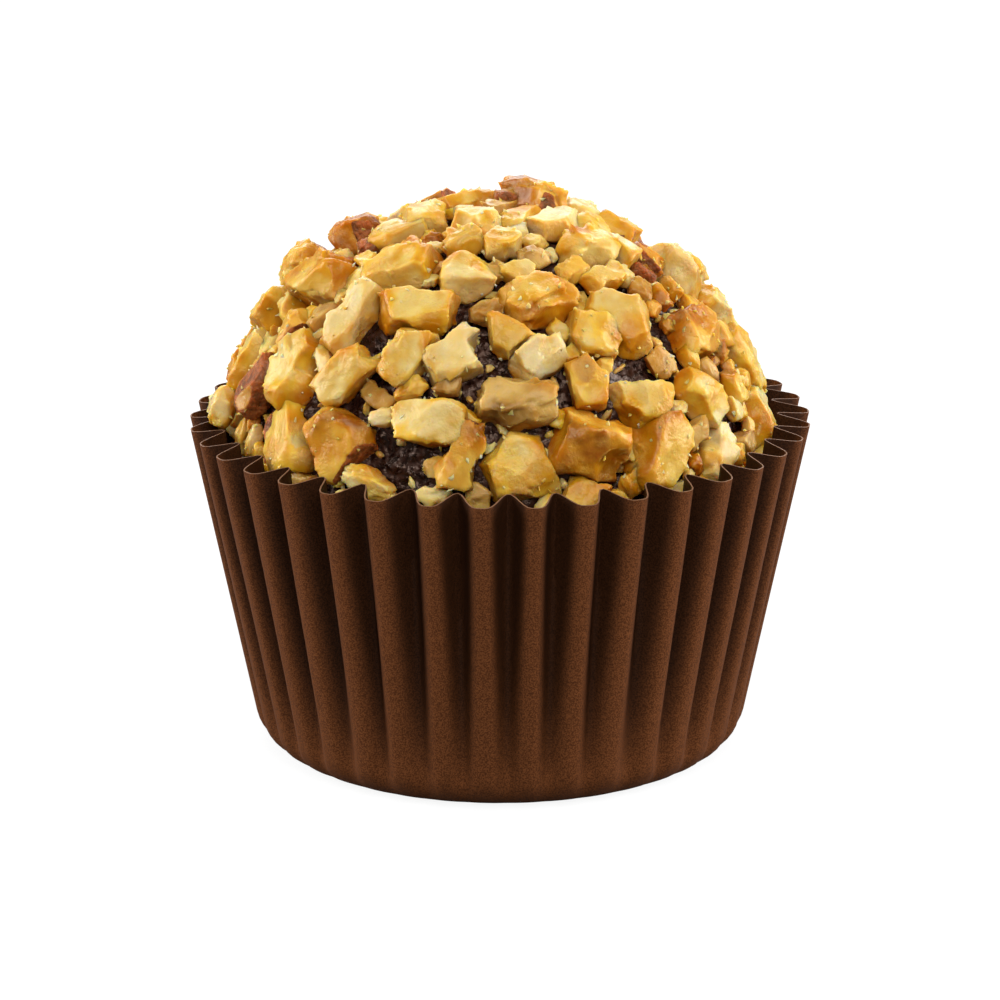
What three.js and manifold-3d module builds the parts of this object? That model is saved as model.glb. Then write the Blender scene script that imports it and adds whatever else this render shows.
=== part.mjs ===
// A brigadeiro: a ball of chocolate rolled in chopped nuts, in its pleated paper cup.
//
// Units are millimetres, +Z is up and -Y is the front. The origin is under the middle of the
// cup. "Turn" is the angle round the upright axis, from the front towards +X, and "rise" is the
// angle above the middle of the ball. A driving dimension that ends in _DEG is in degrees.

import * as THREE from "three";
import { ConvexGeometry } from "three/addons/geometries/ConvexGeometry.js";
import { mergeVertices } from "three/addons/utils/BufferGeometryUtils.js";
import Module from "manifold-3d";

const wasm = await Module();
wasm.setup();

// ---------------------------------------------------------------- driving dimensions

// The paper cup
const CUP_HEIGHT = 19.15;
const CUP_RIM_RADIUS = 17.8; // over the crests of the pleats
const CUP_BASE_RADIUS = 13.8; // where the line of the wall would meet the table
const CUP_FOOT_ROUND = 2.5; // radius of the rounded bottom edge
const CUP_PAPER = 0.25;
const PLEAT_COUNT = 37;
const PLEAT_STEPS = 6; // flat strips to one pleat
const PLEAT_DEPTH_RIM = 1.8;
const PLEAT_DEPTH_FOOT = 0.45; // at the top of the rounded edge
const PLEAT_VALLEY_LIFT = 0.29; // a valley ends this much higher than a crest
const PLEAT_VALLEY_POWER = 1.3; // above 1, the valleys are narrower than the crests
const FIRST_CREST_DEG = 6.23;

// The chocolate ball
const BALL_SHIFT_X = -0.3; // it leans a little to the left in its cup
const BALL_MIDDLE_Z = 16.3;
const BALL_RADIUS = 14.6;
const BALL_TOP_RADIUS = 14.1; // upwards from the middle
const BALL_BOTTOM_RADIUS = 16.3; // downwards from the middle, before its settled flat
const BALL_FLOOR_GAP = 0.3; // between the settled flat and the floor of the cup
const BALL_SEGMENTS = 32;
const BALL_ROWS = 14;

// The coating of chopped nuts
const COAT_REACH = 1.75; // how far an average chunk stands out of the chocolate
const COAT_REACH_SPREAD = 0.35;
const COAT_LOWEST_RISE_DEG = -14;
const CHUNK_THICKNESS = 0.76; // of its width
const CHUNK_CORNER_REACH = 0.95; // the corners of a chunk's box are pulled in this far
const CHUNK_CORNER_SPREAD = 0.4; // and a random part of this much further
const CHUNK_FACE_SHIFT = 0.35; // how far off centre the peak of a face may lie
const CHUNK_LEAN_DEG = 14;
const CUP_CLEARANCE = 0.4; // least space between a chunk and the paper
const NUDGE_STEP = 0.15;
const NUDGE_LIMIT = 14;

// Chunks with a place of their own: [turn, rise, length, width, roll, lift]. Turn, rise and roll
// are in degrees, and roll is the angle of the length, from level, anticlockwise seen from
// outside. Lift, where it is given, is how much further than the average a chunk stands out.
const PLACED_CHUNKS = [
  // left side
  [-88, 12, 2.8, 2.2, 30], [-82, 26, 4.8, 2.8, 65], [-80, 36, 3.5, 3.0, 60],
  [-102, 47, 4.6, 3.6, 40, 0.6], [-71, 20, 4.8, 2.8, 70], [-70, 10, 2.6, 2.0, 90],
  [-68, 37, 3.4, 2.2, 60], [-58, 43, 2.4, 1.8, 100], [-73, 50, 4.4, 3.6, 40],
  [-105, 59, 4.2, 3.2, 20, 0.5], [-80, 60, 2.6, 1.8, 70],
  // front, from the left
  [-55, 33, 4.8, 3.6, 60], [-53, 16, 4.9, 3.6, 125], [-46, 45, 4.9, 3.1, 75],
  [-39, 34, 4.2, 3.1, 60], [-36, 21, 4.9, 3.9, 155], [-28, 48, 5.2, 3.3, 10],
  [-28, 28, 2.6, 1.3, 165], [-27, 24, 1.7, 1.5, 0], [-27, 11, 3.4, 2.0, 160],
  [-22, 38, 3.9, 3.1, 70], [-21, 32, 1.9, 1.4, 20], [-15, 25, 4.7, 3.1, 5],
  [-13, 16, 1.8, 1.5, 60], [-12, 10, 2.4, 1.6, 10], [-11, 40, 3.8, 3.0, 30],
  [-6, 19, 4.5, 2.6, 80], [-3, 50, 2.9, 2.4, 0], [-3, 9, 2.2, 1.6, 0],
  [3, 45, 3.2, 2.7, 150], [6, 29, 5.2, 3.6, 175], [6, 15, 4.8, 4.0, 165],
  [11, 40, 3.5, 3.3, 10], [14, 54, 5.2, 4.0, 0], [18, 65, 2.4, 2.2, 0],
  [19, 10, 2.7, 2.0, 10], [22, 20, 4.6, 4.0, 165], [24, 33, 3.5, 2.8, 100],
  [27, 44, 4.0, 3.2, 150], [36, 28, 4.4, 3.4, 165], [39, 47, 4.7, 3.6, 140],
  [38, 17, 5.2, 4.2, 60], [44, 56, 3.2, 2.2, 10], [46, 33, 2.4, 1.8, 150],
  // right side
  [55, 25, 4.2, 2.5, 130], [58, 12, 3.8, 3.2, 40], [56, 52, 1.9, 1.4, 20],
  [62, 28, 2.3, 2.0, 90], [66, 38, 4.8, 3.8, 20], [72, 24, 2.6, 2.1, 80],
  [70, 58, 3.8, 1.5, 100], [79, 15, 3.9, 3.6, 80], [83, 51, 5.0, 4.4, 120, 0.4],
  [88, 25, 4.6, 3.0, 110], [97, 38, 4.4, 2.8, 115],
  // top
  [-85, 75, 4.4, 3.2, 10], [-72, 66, 4.6, 2.6, 20], [-46, 59, 5.4, 3.9, 5],
  [-45, 85, 4.0, 3.0, 0], [-24, 71, 3.4, 3.0, 0], [-13, 59, 3.7, 3.4, 160],
  [6, 70, 3.0, 2.8, 0], [7, 61, 2.6, 1.7, 170], [30, 79, 4.0, 2.0, 30],
  [31, 60, 3.6, 2.1, 10], [36, 72, 4.4, 2.8, 15], [44, 65, 4.4, 2.8, 0],
  [85, 64, 4.2, 3.4, 150], [120, 70, 3.4, 2.6, 160], [128, 77, 4.6, 3.0, 165, 0.7],
  [140, 83, 2.4, 2.0, 0],
];

// Places where the chocolate shows between the chunks: [turn, rise, width]
const BARE_SPOTS = [
  [-43, 25, 2.0], [-41, 54, 1.8], [-30, 40, 1.2], [-22, 17, 2.4], [-5, 34, 2.2],
  [-8, 49, 1.2], [13, 20, 1.3], [15, 34, 1.0], [28, 25, 1.5], [31, 17, 1.5],
  [35, 36, 2.6], [50, 38, 1.4], [62, 17, 1.8], [66, 29, 1.0], [50, 17, 0.8],
];

// The other chunks are strewn by rule, the largest first: [length, width]
const STREWN_CHUNKS = [
  [4.8, 3.9],
  [4.1, 3.3],
  [3.2, 2.6],
  [2.3, 1.8],
];
const STREWN_SPREAD = 0.15; // how much a strewn chunk's size varies, up and down
const STREWN_SPACING = 0.9; // of the sum of two chunks' half sizes
const STREWN_PLACES = 1597; // places tried for each size, on one spiral round the ball
const STREWN_STRIDE = 987; // and the step between one place and the next
const STREWN_SEED = 37;

// ---------------------------------------------------------------- finishes

const chocolateWithNuts = new THREE.MeshStandardMaterial({
  color: 0xd9a648,
  roughness: 0.45,
  metalness: 0,
});

const brownPaper = new THREE.MeshStandardMaterial({
  color: 0x3a2016,
  roughness: 0.75,
  metalness: 0,
});

// ---------------------------------------------------------------- small helpers

const radians = THREE.MathUtils.degToRad;
const GOLDEN_ANGLE = Math.PI * (3 - Math.sqrt(5));

// Returns a function that draws numbers from 0 to 1, always the same ones for one seed.
function seededDraw(seed) {
  let state = seed;
  return () => {
    state = (state + 0x6d2b79f5) | 0;
    let mixed = Math.imul(state ^ (state >>> 15), state | 1);
    mixed ^= mixed + Math.imul(mixed ^ (mixed >>> 7), mixed | 61);
    return ((mixed ^ (mixed >>> 14)) >>> 0) / 4294967296;
  };
}

// The unit direction of a turn and a rise, both in radians.
function directionOf(turn, rise) {
  return new THREE.Vector3(
    Math.cos(rise) * Math.sin(turn),
    -Math.cos(rise) * Math.cos(turn),
    Math.sin(rise),
  );
}

// Leaves only positions in a geometry, with shared vertices merged and slivers of no area gone.
function closedMesh(geometry) {
  geometry.deleteAttribute("normal");
  geometry.deleteAttribute("uv");
  const merged = mergeVertices(geometry, 1e-5);
  const corners = merged.index.array;
  const kept = [];
  for (let i = 0; i < corners.length; i += 3) {
    const [a, b, c] = corners.slice(i, i + 3);
    if (a !== b && b !== c && c !== a) kept.push(a, b, c);
  }
  merged.setIndex(kept);
  return merged;
}

function solidOf(geometry) {
  const merged = closedMesh(geometry);
  return new wasm.Manifold(new wasm.Mesh({
    numProp: 3,
    vertProperties: new Float32Array(merged.attributes.position.array),
    triVerts: new Uint32Array(merged.index.array),
  }));
}

// Turns a solid into a geometry of its largest shell. Chunks that touch may seal a small hollow
// between them: leaving out its inner shell fills it.
function largestShell(solid) {
  const { vertProperties, triVerts } = solid.getMesh();
  const parent = Array.from({ length: vertProperties.length / 3 }, (_, vertex) => vertex);
  const rootOf = (vertex) => {
    let root = vertex;
    while (parent[root] !== root) root = parent[root];
    parent[vertex] = root;
    return root;
  };
  for (let i = 0; i < triVerts.length; i += 3) {
    parent[rootOf(triVerts[i + 1])] = rootOf(triVerts[i]);
    parent[rootOf(triVerts[i + 2])] = rootOf(triVerts[i]);
  }
  const shells = new Map();
  for (let i = 0; i < triVerts.length; i += 3) {
    const root = rootOf(triVerts[i]);
    if (!shells.has(root)) shells.set(root, []);
    shells.get(root).push(triVerts[i], triVerts[i + 1], triVerts[i + 2]);
  }
  const largest = [...shells.values()].sort((a, b) => b.length - a.length)[0];
  const geometry = new THREE.BufferGeometry();
  geometry.setAttribute("position", new THREE.BufferAttribute(vertProperties, 3));
  geometry.setIndex(largest);
  return geometry;
}

// ---------------------------------------------------------------- the paper cup

const wallSlope = Math.atan2(CUP_HEIGHT, CUP_RIM_RADIUS - CUP_BASE_RADIUS);
const footMiddleRadius = CUP_BASE_RADIUS - CUP_FOOT_ROUND * Math.tan(wallSlope / 2);
const footTopRadius = footMiddleRadius + CUP_FOOT_ROUND * Math.sin(wallSlope);
const footTopHeight = CUP_FOOT_ROUND * (1 - Math.cos(wallSlope));

// 0 on the crest of a pleat, 1 in the valley beside it.
function pleatWave(turn) {
  const phase = PLEAT_COUNT * (turn - radians(FIRST_CREST_DEG));
  return ((1 - Math.cos(phase)) / 2) ** PLEAT_VALLEY_POWER;
}

// A point on the outside of the cup. "Along" is 0 where the flat bottom ends, 1 at the top of
// the rounded edge and 2 at the rim.
function cupOutside(turn, along) {
  const wave = pleatWave(turn);
  let radius;
  let height;
  if (along <= 1) {
    const slope = wallSlope * along;
    radius = footMiddleRadius + CUP_FOOT_ROUND * Math.sin(slope);
    radius -= PLEAT_DEPTH_FOOT * along ** 2 * wave;
    height = CUP_FOOT_ROUND * (1 - Math.cos(slope));
  } else {
    const up = along - 1;
    const depth = THREE.MathUtils.lerp(PLEAT_DEPTH_FOOT, PLEAT_DEPTH_RIM, up);
    radius = THREE.MathUtils.lerp(footTopRadius, CUP_RIM_RADIUS, up) - depth * wave;
    height = THREE.MathUtils.lerp(footTopHeight, CUP_HEIGHT, up) + PLEAT_VALLEY_LIFT * wave * up;
  }
  return new THREE.Vector3(radius * Math.sin(turn), -radius * Math.cos(turn), height);
}

// The point of the inside of the cup that faces the same point of its outside.
function cupInside(turn, along) {
  const point = cupOutside(turn, along);
  const small = 0.002;
  const across = cupOutside(turn + small, along).sub(cupOutside(turn - small, along));
  const upper = Math.min(along + small, 2);
  const lower = Math.max(along - small, 0);
  const upwards = cupOutside(turn, upper).sub(cupOutside(turn, lower));
  const outwards = across.cross(upwards).normalize();
  return point.addScaledVector(outwards, -CUP_PAPER);
}

// The wall is turned as a closed section, and its corners are then moved into the pleats.
function paperCupGeometry() {
  const stations = [0, 0.5, 1, 2];
  const rows = [
    () => new THREE.Vector3(0, 0, 0),
    ...stations.map((along) => (turn) => cupOutside(turn, along)),
    ...stations.toReversed().map((along) => (turn) => cupInside(turn, along)),
    () => new THREE.Vector3(0, 0, CUP_PAPER),
  ];
  const section = rows.map((pointAt) => {
    const point = pointAt(0);
    return new THREE.Vector2(Math.hypot(point.x, point.y), point.z);
  });
  const segments = PLEAT_COUNT * PLEAT_STEPS;
  const geometry = new THREE.LatheGeometry(section, segments);
  const positions = geometry.attributes.position;
  for (let i = 0; i < positions.count; i += 1) {
    const column = Math.floor(i / rows.length) % segments;
    const turn = radians(FIRST_CREST_DEG) + (column / segments) * 2 * Math.PI;
    const point = rows[i % rows.length](turn);
    positions.setXYZ(i, point.x, point.y, point.z);
  }
  return closedMesh(geometry);
}

// Whether a point lies within the cup or above it, and far enough from the paper.
function isClearOfCup(point) {
  const wallAt = (turn) => {
    const up = (point.z - footTopHeight) / (CUP_HEIGHT - footTopHeight);
    return cupOutside(turn, THREE.MathUtils.clamp(up, 0, 1) + 1);
  };
  const turn = Math.atan2(point.x, -point.y);
  const facing = wallAt(turn);
  const isBelowRim = point.z < facing.z + CUP_CLEARANCE;
  if (isBelowRim && Math.hypot(point.x, point.y) > Math.hypot(facing.x, facing.y)) return false;
  const reach = CUP_CLEARANCE + CUP_PAPER;
  for (let offset = -6; offset <= 6; offset += 1) {
    if (wallAt(turn + radians(offset)).distanceTo(point) < reach) return false;
  }
  return true;
}

// ---------------------------------------------------------------- the sweet

const ballMiddle = new THREE.Vector3(BALL_SHIFT_X, 0, BALL_MIDDLE_Z);

// Half an ellipse above the middle and half a longer one below it, which ends in a flat where
// the sweet has settled on the floor of the cup.
function ballGeometry() {
  const flatDrop = BALL_MIDDLE_Z - CUP_PAPER - BALL_FLOOR_GAP;
  const lowest = -Math.asin(flatDrop / BALL_BOTTOM_RADIUS);
  const section = [new THREE.Vector2(0, -flatDrop)];
  for (let row = 0; row < BALL_ROWS; row += 1) {
    const rise = THREE.MathUtils.lerp(lowest, Math.PI / 2, row / BALL_ROWS);
    const upright = rise < 0 ? BALL_BOTTOM_RADIUS : BALL_TOP_RADIUS;
    section.push(new THREE.Vector2(BALL_RADIUS * Math.cos(rise), upright * Math.sin(rise)));
  }
  section.push(new THREE.Vector2(0, BALL_TOP_RADIUS));
  const geometry = new THREE.LatheGeometry(section, BALL_SEGMENTS);
  geometry.rotateX(Math.PI / 2);
  geometry.translate(ballMiddle.x, ballMiddle.y, ballMiddle.z);
  return geometry;
}

// The point of the chocolate's surface in a direction from its middle.
function ballSurface(direction) {
  const upright = direction.z < 0 ? BALL_BOTTOM_RADIUS : BALL_TOP_RADIUS;
  const stretched = direction.clone();
  stretched.x /= BALL_RADIUS;
  stretched.y /= BALL_RADIUS;
  stretched.z /= upright;
  return ballMiddle.clone().addScaledVector(direction, 1 / stretched.length());
}

// All chunks as { direction, length, width, roll, reach }: the placed ones, then the strewn
// ones, each only where it has room between its neighbours.
function layOutChunks() {
  const draw = seededDraw(STREWN_SEED);
  const chunks = PLACED_CHUNKS.map(([turn, rise, length, width, roll, lift = 0]) => ({
    direction: directionOf(radians(turn), radians(rise)),
    length,
    width,
    roll: radians(roll),
    reach: COAT_REACH + lift,
  }));
  const taken = chunks.map(({ direction, length, width }) => ({
    direction,
    size: (length + width) / 2,
  }));
  for (const [turn, rise, width] of BARE_SPOTS) {
    taken.push({ direction: directionOf(radians(turn), radians(rise)), size: width });
  }
  const lowest = Math.sin(radians(COAT_LOWEST_RISE_DEG));
  for (const [length, width] of STREWN_CHUNKS) {
    for (let visit = 0; visit < STREWN_PLACES; visit += 1) {
      const place = (visit * STREWN_STRIDE) % STREWN_PLACES;
      const rise = Math.asin(THREE.MathUtils.lerp(lowest, 1, (place + 0.5) / STREWN_PLACES));
      const scale = 1 + STREWN_SPREAD * (2 * draw() - 1);
      const roll = draw() * Math.PI;
      const direction = directionOf(place * GOLDEN_ANGLE, rise);
      const size = (scale * (length + width)) / 2;
      const hasRoom = taken.every((other) => {
        const apart = direction.angleTo(other.direction) * (BALL_RADIUS + COAT_REACH / 2);
        return apart > STREWN_SPACING * (size + other.size) / 2;
      });
      if (!hasRoom) continue;
      const reach = COAT_REACH + COAT_REACH_SPREAD * (2 * draw() - 1);
      taken.push({ direction, size });
      chunks.push({ direction, length: length * scale, width: width * scale, roll, reach });
    }
  }
  return chunks;
}

// The corners of one chunk round its own middle: x along its length, y along its width and z
// out of the sweet. They are the corners of a box, unevenly pulled in and with one chopped off,
// and the peak that each of its sides swells to, but for the side that lies in the chocolate.
function chunkCorners(chunk, draw) {
  const half = new THREE.Vector3(
    chunk.length / 2,
    chunk.width / 2,
    (chunk.width * CHUNK_THICKNESS) / 2,
  );
  const corners = [];
  const chopped = Math.floor(8 * draw());
  for (let i = 0; i < 8; i += 1) {
    const corner = new THREE.Vector3(i & 1 ? 1 : -1, i & 2 ? 1 : -1, i & 4 ? 1 : -1);
    corner.multiplyScalar(CHUNK_CORNER_REACH - CHUNK_CORNER_SPREAD * draw());
    if (i !== chopped) corners.push(corner);
  }
  for (let i = 0; i < 5; i += 1) {
    const shift = () => CHUNK_FACE_SHIFT * (2 * draw() - 1);
    const peak = new THREE.Vector3(shift(), shift(), shift());
    corners.push(peak.setComponent(i >> 1, i & 1 ? -1 : 1));
  }
  return corners.map((corner) => corner.multiply(half));
}

// Sets the corners of a chunk on the sweet. A chunk that would touch the paper is pushed into
// the chocolate step by step, and left out if that isn't enough.
function placeChunk(chunk, draw) {
  const corners = chunkCorners(chunk, draw);
  const east = new THREE.Vector3(-chunk.direction.y, chunk.direction.x, 0).normalize();
  const north = chunk.direction.clone().cross(east);
  const lean = radians(CHUNK_LEAN_DEG) * (2 * draw() - 1);
  const basis = new THREE.Matrix4().makeBasis(east, north, chunk.direction);
  basis.multiply(new THREE.Matrix4().makeRotationZ(chunk.roll));
  basis.multiply(new THREE.Matrix4().makeRotationX(lean));
  const middleHeight = chunk.reach - (chunk.width * CHUNK_THICKNESS) / 2;
  const middle = ballSurface(chunk.direction).addScaledVector(chunk.direction, middleHeight);
  const placed = corners.map((corner) => corner.applyMatrix4(basis).add(middle));
  for (let nudge = 0; nudge < NUDGE_LIMIT; nudge += 1) {
    const geometry = new ConvexGeometry(placed);
    if (surfaceSamples(geometry).every(isClearOfCup)) return geometry;
    for (const corner of placed) corner.addScaledVector(chunk.direction, -NUDGE_STEP);
  }
  return null;
}

// Points spread over the faces of a geometry without shared vertices.
function surfaceSamples(geometry) {
  const positions = geometry.attributes.position;
  const samples = [];
  const corner = [new THREE.Vector3(), new THREE.Vector3(), new THREE.Vector3()];
  const parts = 4;
  for (let i = 0; i < positions.count; i += 3) {
    corner.forEach((vertex, j) => vertex.fromBufferAttribute(positions, i + j));
    for (let a = 0; a <= parts; a += 1) {
      for (let b = 0; b <= parts - a; b += 1) {
        const sample = new THREE.Vector3();
        sample.addScaledVector(corner[0], a / parts);
        sample.addScaledVector(corner[1], b / parts);
        sample.addScaledVector(corner[2], 1 - (a + b) / parts);
        samples.push(sample);
      }
    }
  }
  return samples;
}

function sweetGeometry() {
  const draw = seededDraw(STREWN_SEED + 1);
  let sweet = solidOf(ballGeometry());
  for (const chunk of layOutChunks()) {
    const geometry = placeChunk(chunk, draw);
    if (geometry) sweet = sweet.add(solidOf(geometry));
  }
  return largestShell(sweet);
}

// ---------------------------------------------------------------- the whole

function namedMesh(name, geometry, material) {
  geometry.computeVertexNormals();
  const mesh = new THREE.Mesh(geometry, material);
  mesh.name = name;
  return mesh;
}

const brigadeiro = new THREE.Group();
brigadeiro.add(namedMesh("sweet", sweetGeometry(), chocolateWithNuts));
brigadeiro.add(namedMesh("paper_cup", paperCupGeometry(), brownPaper));

export default brigadeiro;
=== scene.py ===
"""A brigadeiro: a chocolate ball rolled in chopped roasted nuts, in its pleated paper cup.

Blender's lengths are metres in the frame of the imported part, with +Z up and -Y the front. The
sizes below are in millimetres, and MM turns them into metres. "Turn" is the angle round the
upright axis, from the front towards +X, and "rise" is the angle above the middle of the ball.
"""

import logging
import math
from dataclasses import dataclass, field
from enum import Enum
from functools import partialmethod
from typing import ClassVar, Iterable, Mapping, Optional, Sequence, Union

import bpy
import numpy as np
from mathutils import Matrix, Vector


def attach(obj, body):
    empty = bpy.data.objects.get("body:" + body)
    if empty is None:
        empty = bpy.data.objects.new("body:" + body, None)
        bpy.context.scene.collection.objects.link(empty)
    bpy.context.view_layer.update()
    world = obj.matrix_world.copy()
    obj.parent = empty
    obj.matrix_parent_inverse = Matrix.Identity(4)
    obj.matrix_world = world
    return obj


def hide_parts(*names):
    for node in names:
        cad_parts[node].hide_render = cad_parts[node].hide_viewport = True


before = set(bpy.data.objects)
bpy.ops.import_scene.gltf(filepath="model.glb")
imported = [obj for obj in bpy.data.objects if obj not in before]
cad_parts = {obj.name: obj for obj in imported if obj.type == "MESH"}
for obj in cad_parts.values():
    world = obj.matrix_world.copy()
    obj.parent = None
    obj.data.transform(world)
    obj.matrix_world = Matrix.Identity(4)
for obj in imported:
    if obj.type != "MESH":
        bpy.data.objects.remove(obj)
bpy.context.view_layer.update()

MM = 0.001
BODY = "root"
LOG = logging.getLogger("brigadeiro")
BLACK = (0.0, 0.0, 0.0)

Colour = Triple = tuple[float, float, float]
Span = tuple[float, float]


# ------------------------------------------------------------------ node trees


class Value:
    """An output socket of a node tree, which can be reckoned with like a plain number."""

    def __init__(self, graph: "NodeGraph", socket: bpy.types.NodeSocket) -> None:
        """Keeps the socket and the graph that it belongs to."""
        self.graph = graph
        self.socket = socket

    def combined(self, operation: str, other: "Number") -> "Value":
        """Returns what a Math node makes of this value and another."""
        return self.graph.reckon(operation, self, other)

    def taken_from(self, other: "Number") -> "Value":
        """Returns the difference from a plain number."""
        return self.graph.reckon("SUBTRACT", other, self)

    __add__ = __radd__ = partialmethod(combined, "ADD")
    __mul__ = __rmul__ = partialmethod(combined, "MULTIPLY")
    __sub__ = partialmethod(combined, "SUBTRACT")
    __pow__ = partialmethod(combined, "POWER")
    __rsub__ = taken_from


Number = Union[Value, float]


class NodeGraph:
    """Fills one shader or geometry node tree, node by node."""

    COLUMN_STEP: ClassVar[float] = 180.0
    ROW_STEP: ClassVar[float] = 160.0
    ROWS: ClassVar[int] = 8
    SOCKETS: ClassVar[dict[type, str]] = {bool: "Bool", int: "Int", float: "Float", tuple: "Vector"}

    def __init__(self, tree: bpy.types.NodeTree) -> None:
        """Starts on an empty tree."""
        self.tree = tree
        self.given: dict[str, Value] = {}

    @classmethod
    def with_sockets(
        cls,
        kind: str,
        name: str,
        inputs: Mapping[str, Iterable[str]],
        outputs: Mapping[str, Iterable[str]],
    ) -> "NodeGraph":
        """Makes a node group with named sockets and its input node.

        Args:
            kind: the type of the tree, ShaderNodeTree or GeometryNodeTree.
            name: the name of the group.
            inputs: the names of the inputs, by the type of their sockets.
            outputs: the names of the outputs, likewise.

        Returns:
            The graph of the group, with its inputs in given.
        """
        graph = cls(bpy.data.node_groups.new(name, kind))
        for way, sockets in (("INPUT", inputs), ("OUTPUT", outputs)):
            for socket, labels in sockets.items():
                for label in labels:
                    graph.tree.interface.new_socket(
                        label, in_out=way, socket_type=f"NodeSocket{socket}"
                    )
        entry = graph.add("NodeGroupInput")
        graph.given = {socket.name: Value(graph, socket) for socket in entry.outputs if socket.name}
        return graph

    @classmethod
    def for_geometry(cls, name: str, inputs: Mapping[str, object]) -> "NodeGraph":
        """Makes a geometry node group.

        Args:
            name: the name of the group.
            inputs: a value for each input besides the geometry, which says the input's type.

        Returns:
            The graph of the group.
        """
        sockets: dict[str, list[str]] = {"Geometry": ["Geometry"]}
        for label, value in inputs.items():
            sockets.setdefault(cls.SOCKETS.get(type(value), "Material"), []).append(label)
        return cls.with_sockets("GeometryNodeTree", name, sockets, {"Geometry": ["Geometry"]})

    def add(
        self,
        kind: str,
        inputs: Optional[Mapping[Union[str, int], object]] = None,
        **settings: object,
    ) -> bpy.types.Node:
        """Adds a node.

        Args:
            kind: the node's type.
            inputs: what feeds each input, by the input's name or number.
            **settings: the node's own settings.

        Returns:
            The new node.
        """
        node = self.tree.nodes.new(kind)
        column, row = divmod(len(self.tree.nodes) - 1, self.ROWS)
        node.location = (column * self.COLUMN_STEP, -row * self.ROW_STEP)
        for label, setting in settings.items():
            setattr(node, label, setting)
        for label, value in (inputs or {}).items():
            self.feed(self.socket_of(node, label), value)
        return node

    @staticmethod
    def socket_of(node: bpy.types.Node, label: Union[str, int]) -> bpy.types.NodeSocket:
        """Returns a node's input by number, or the one in use among those of a name."""
        if isinstance(label, int):
            return node.inputs[label]
        return next(s for s in node.inputs if s.name == label and s.enabled)

    def feed(self, socket: bpy.types.NodeSocket, value: object) -> None:
        """Links a Value or a socket to an input, or sets the input's own number or colour."""
        if isinstance(value, Value):
            value = value.socket
        if isinstance(value, bpy.types.NodeSocket):
            self.tree.links.new(value, socket)
        elif socket.type == "RGBA" and len(value) == 3:
            socket.default_value = (*value, 1.0)
        else:
            socket.default_value = value

    def out(self, node: bpy.types.Node, label: Union[str, int] = 0) -> Value:
        """Returns a node's output by name or number."""
        return Value(self, node.outputs[label])

    def reckon(self, operation: str, *terms: Number) -> Value:
        """Adds a Math node and returns its result."""
        inputs = dict(enumerate(terms))
        return self.out(self.add("ShaderNodeMath", inputs, operation=operation))

    def stepped(self, value: Number, low: float, high: float, smooth: bool = True) -> Value:
        """Returns how far a value is on its way from low to high, held between 0 and 1."""
        inputs = {"Value": value, "From Min": low, "From Max": high}
        style = "SMOOTHSTEP" if smooth else "LINEAR"
        return self.out(self.add("ShaderNodeMapRange", inputs, interpolation_type=style))

    def mixed(self, factor: Number, first: object, second: object) -> Value:
        """Returns a colour between two colours."""
        node = self.add("ShaderNodeMix", {0: factor, 6: first, 7: second}, data_type="RGBA")
        return self.out(node, 2)

    def multiplied(self, factor: Number, first: object, second: object) -> Value:
        """Returns a colour, multiplied by a second one as far as the factor says."""
        inputs = {0: factor, 6: first, 7: second}
        node = self.add("ShaderNodeMix", inputs, data_type="RGBA", blend_type="MULTIPLY")
        return self.out(node, 2)

    def noise(self, where: Value, scale: Number, detail: float = 2.0) -> Value:
        """Returns soft noise from 0 to 1 at a place, with a scale in waves to a metre."""
        inputs = {"Vector": where, "Scale": scale, "Detail": detail}
        return self.out(self.add("ShaderNodeTexNoise", inputs), 0)

    def attribute(self, name: str) -> Value:
        """Returns a number that the mesh carries, in a shader."""
        return self.out(self.add("ShaderNodeAttribute", attribute_name=name), "Fac")

    def shaped(
        self,
        kind: str,
        geometry: object,
        inputs: Optional[Mapping[str, object]] = None,
        **settings: object,
    ) -> bpy.types.NodeSocket:
        """Adds a geometry node.

        Args:
            kind: the node's type.
            geometry: what feeds its first input.
            inputs: what feeds the others.
            **settings: the node's own settings.

        Returns:
            The geometry that it gives.
        """
        return self.add(kind, {0: geometry, **(inputs or {})}, **settings).outputs[0]

    def stored(
        self, geometry: object, name: str, value: Value, domain: str
    ) -> bpy.types.NodeSocket:
        """Returns a geometry that carries a number, on each POINT, FACE or INSTANCE."""
        inputs = {"Name": name, "Value": value}
        kind = "GeometryNodeStoreNamedAttribute"
        return self.shaped(kind, geometry, inputs, data_type="FLOAT", domain=domain)

    def finished(self, geometry: object) -> None:
        """Realises a geometry's instances, gives it the finish and sends it out."""
        plain = self.shaped("GeometryNodeRealizeInstances", geometry)
        dressed = self.shaped("GeometryNodeSetMaterial", plain, {"Material": self.given["Finish"]})
        self.close({"Geometry": dressed})

    def surface(
        self, height: object, strength: float, relief: float, inputs: Mapping[str, object]
    ) -> None:
        """Adds a Principled shader with a bump, and the material's output.

        Args:
            height: what feeds the height of the bump.
            strength: how strong the bump is.
            relief: how deep it is, in millimetres.
            inputs: what feeds the shader's other inputs.
        """
        bump_inputs = {"Strength": strength, "Distance": relief * MM, "Height": height}
        bump = self.add("ShaderNodeBump", bump_inputs)
        shader = self.add("ShaderNodeBsdfPrincipled", {"Normal": bump.outputs["Normal"], **inputs})
        self.add("ShaderNodeOutputMaterial", {"Surface": shader.outputs["BSDF"]})

    def close(self, outputs: Mapping[str, object]) -> None:
        """Adds the group's output node, and feeds each of its outputs."""
        self.add("NodeGroupOutput", outputs)


# ------------------------------------------------------------------ shared effects


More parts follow.
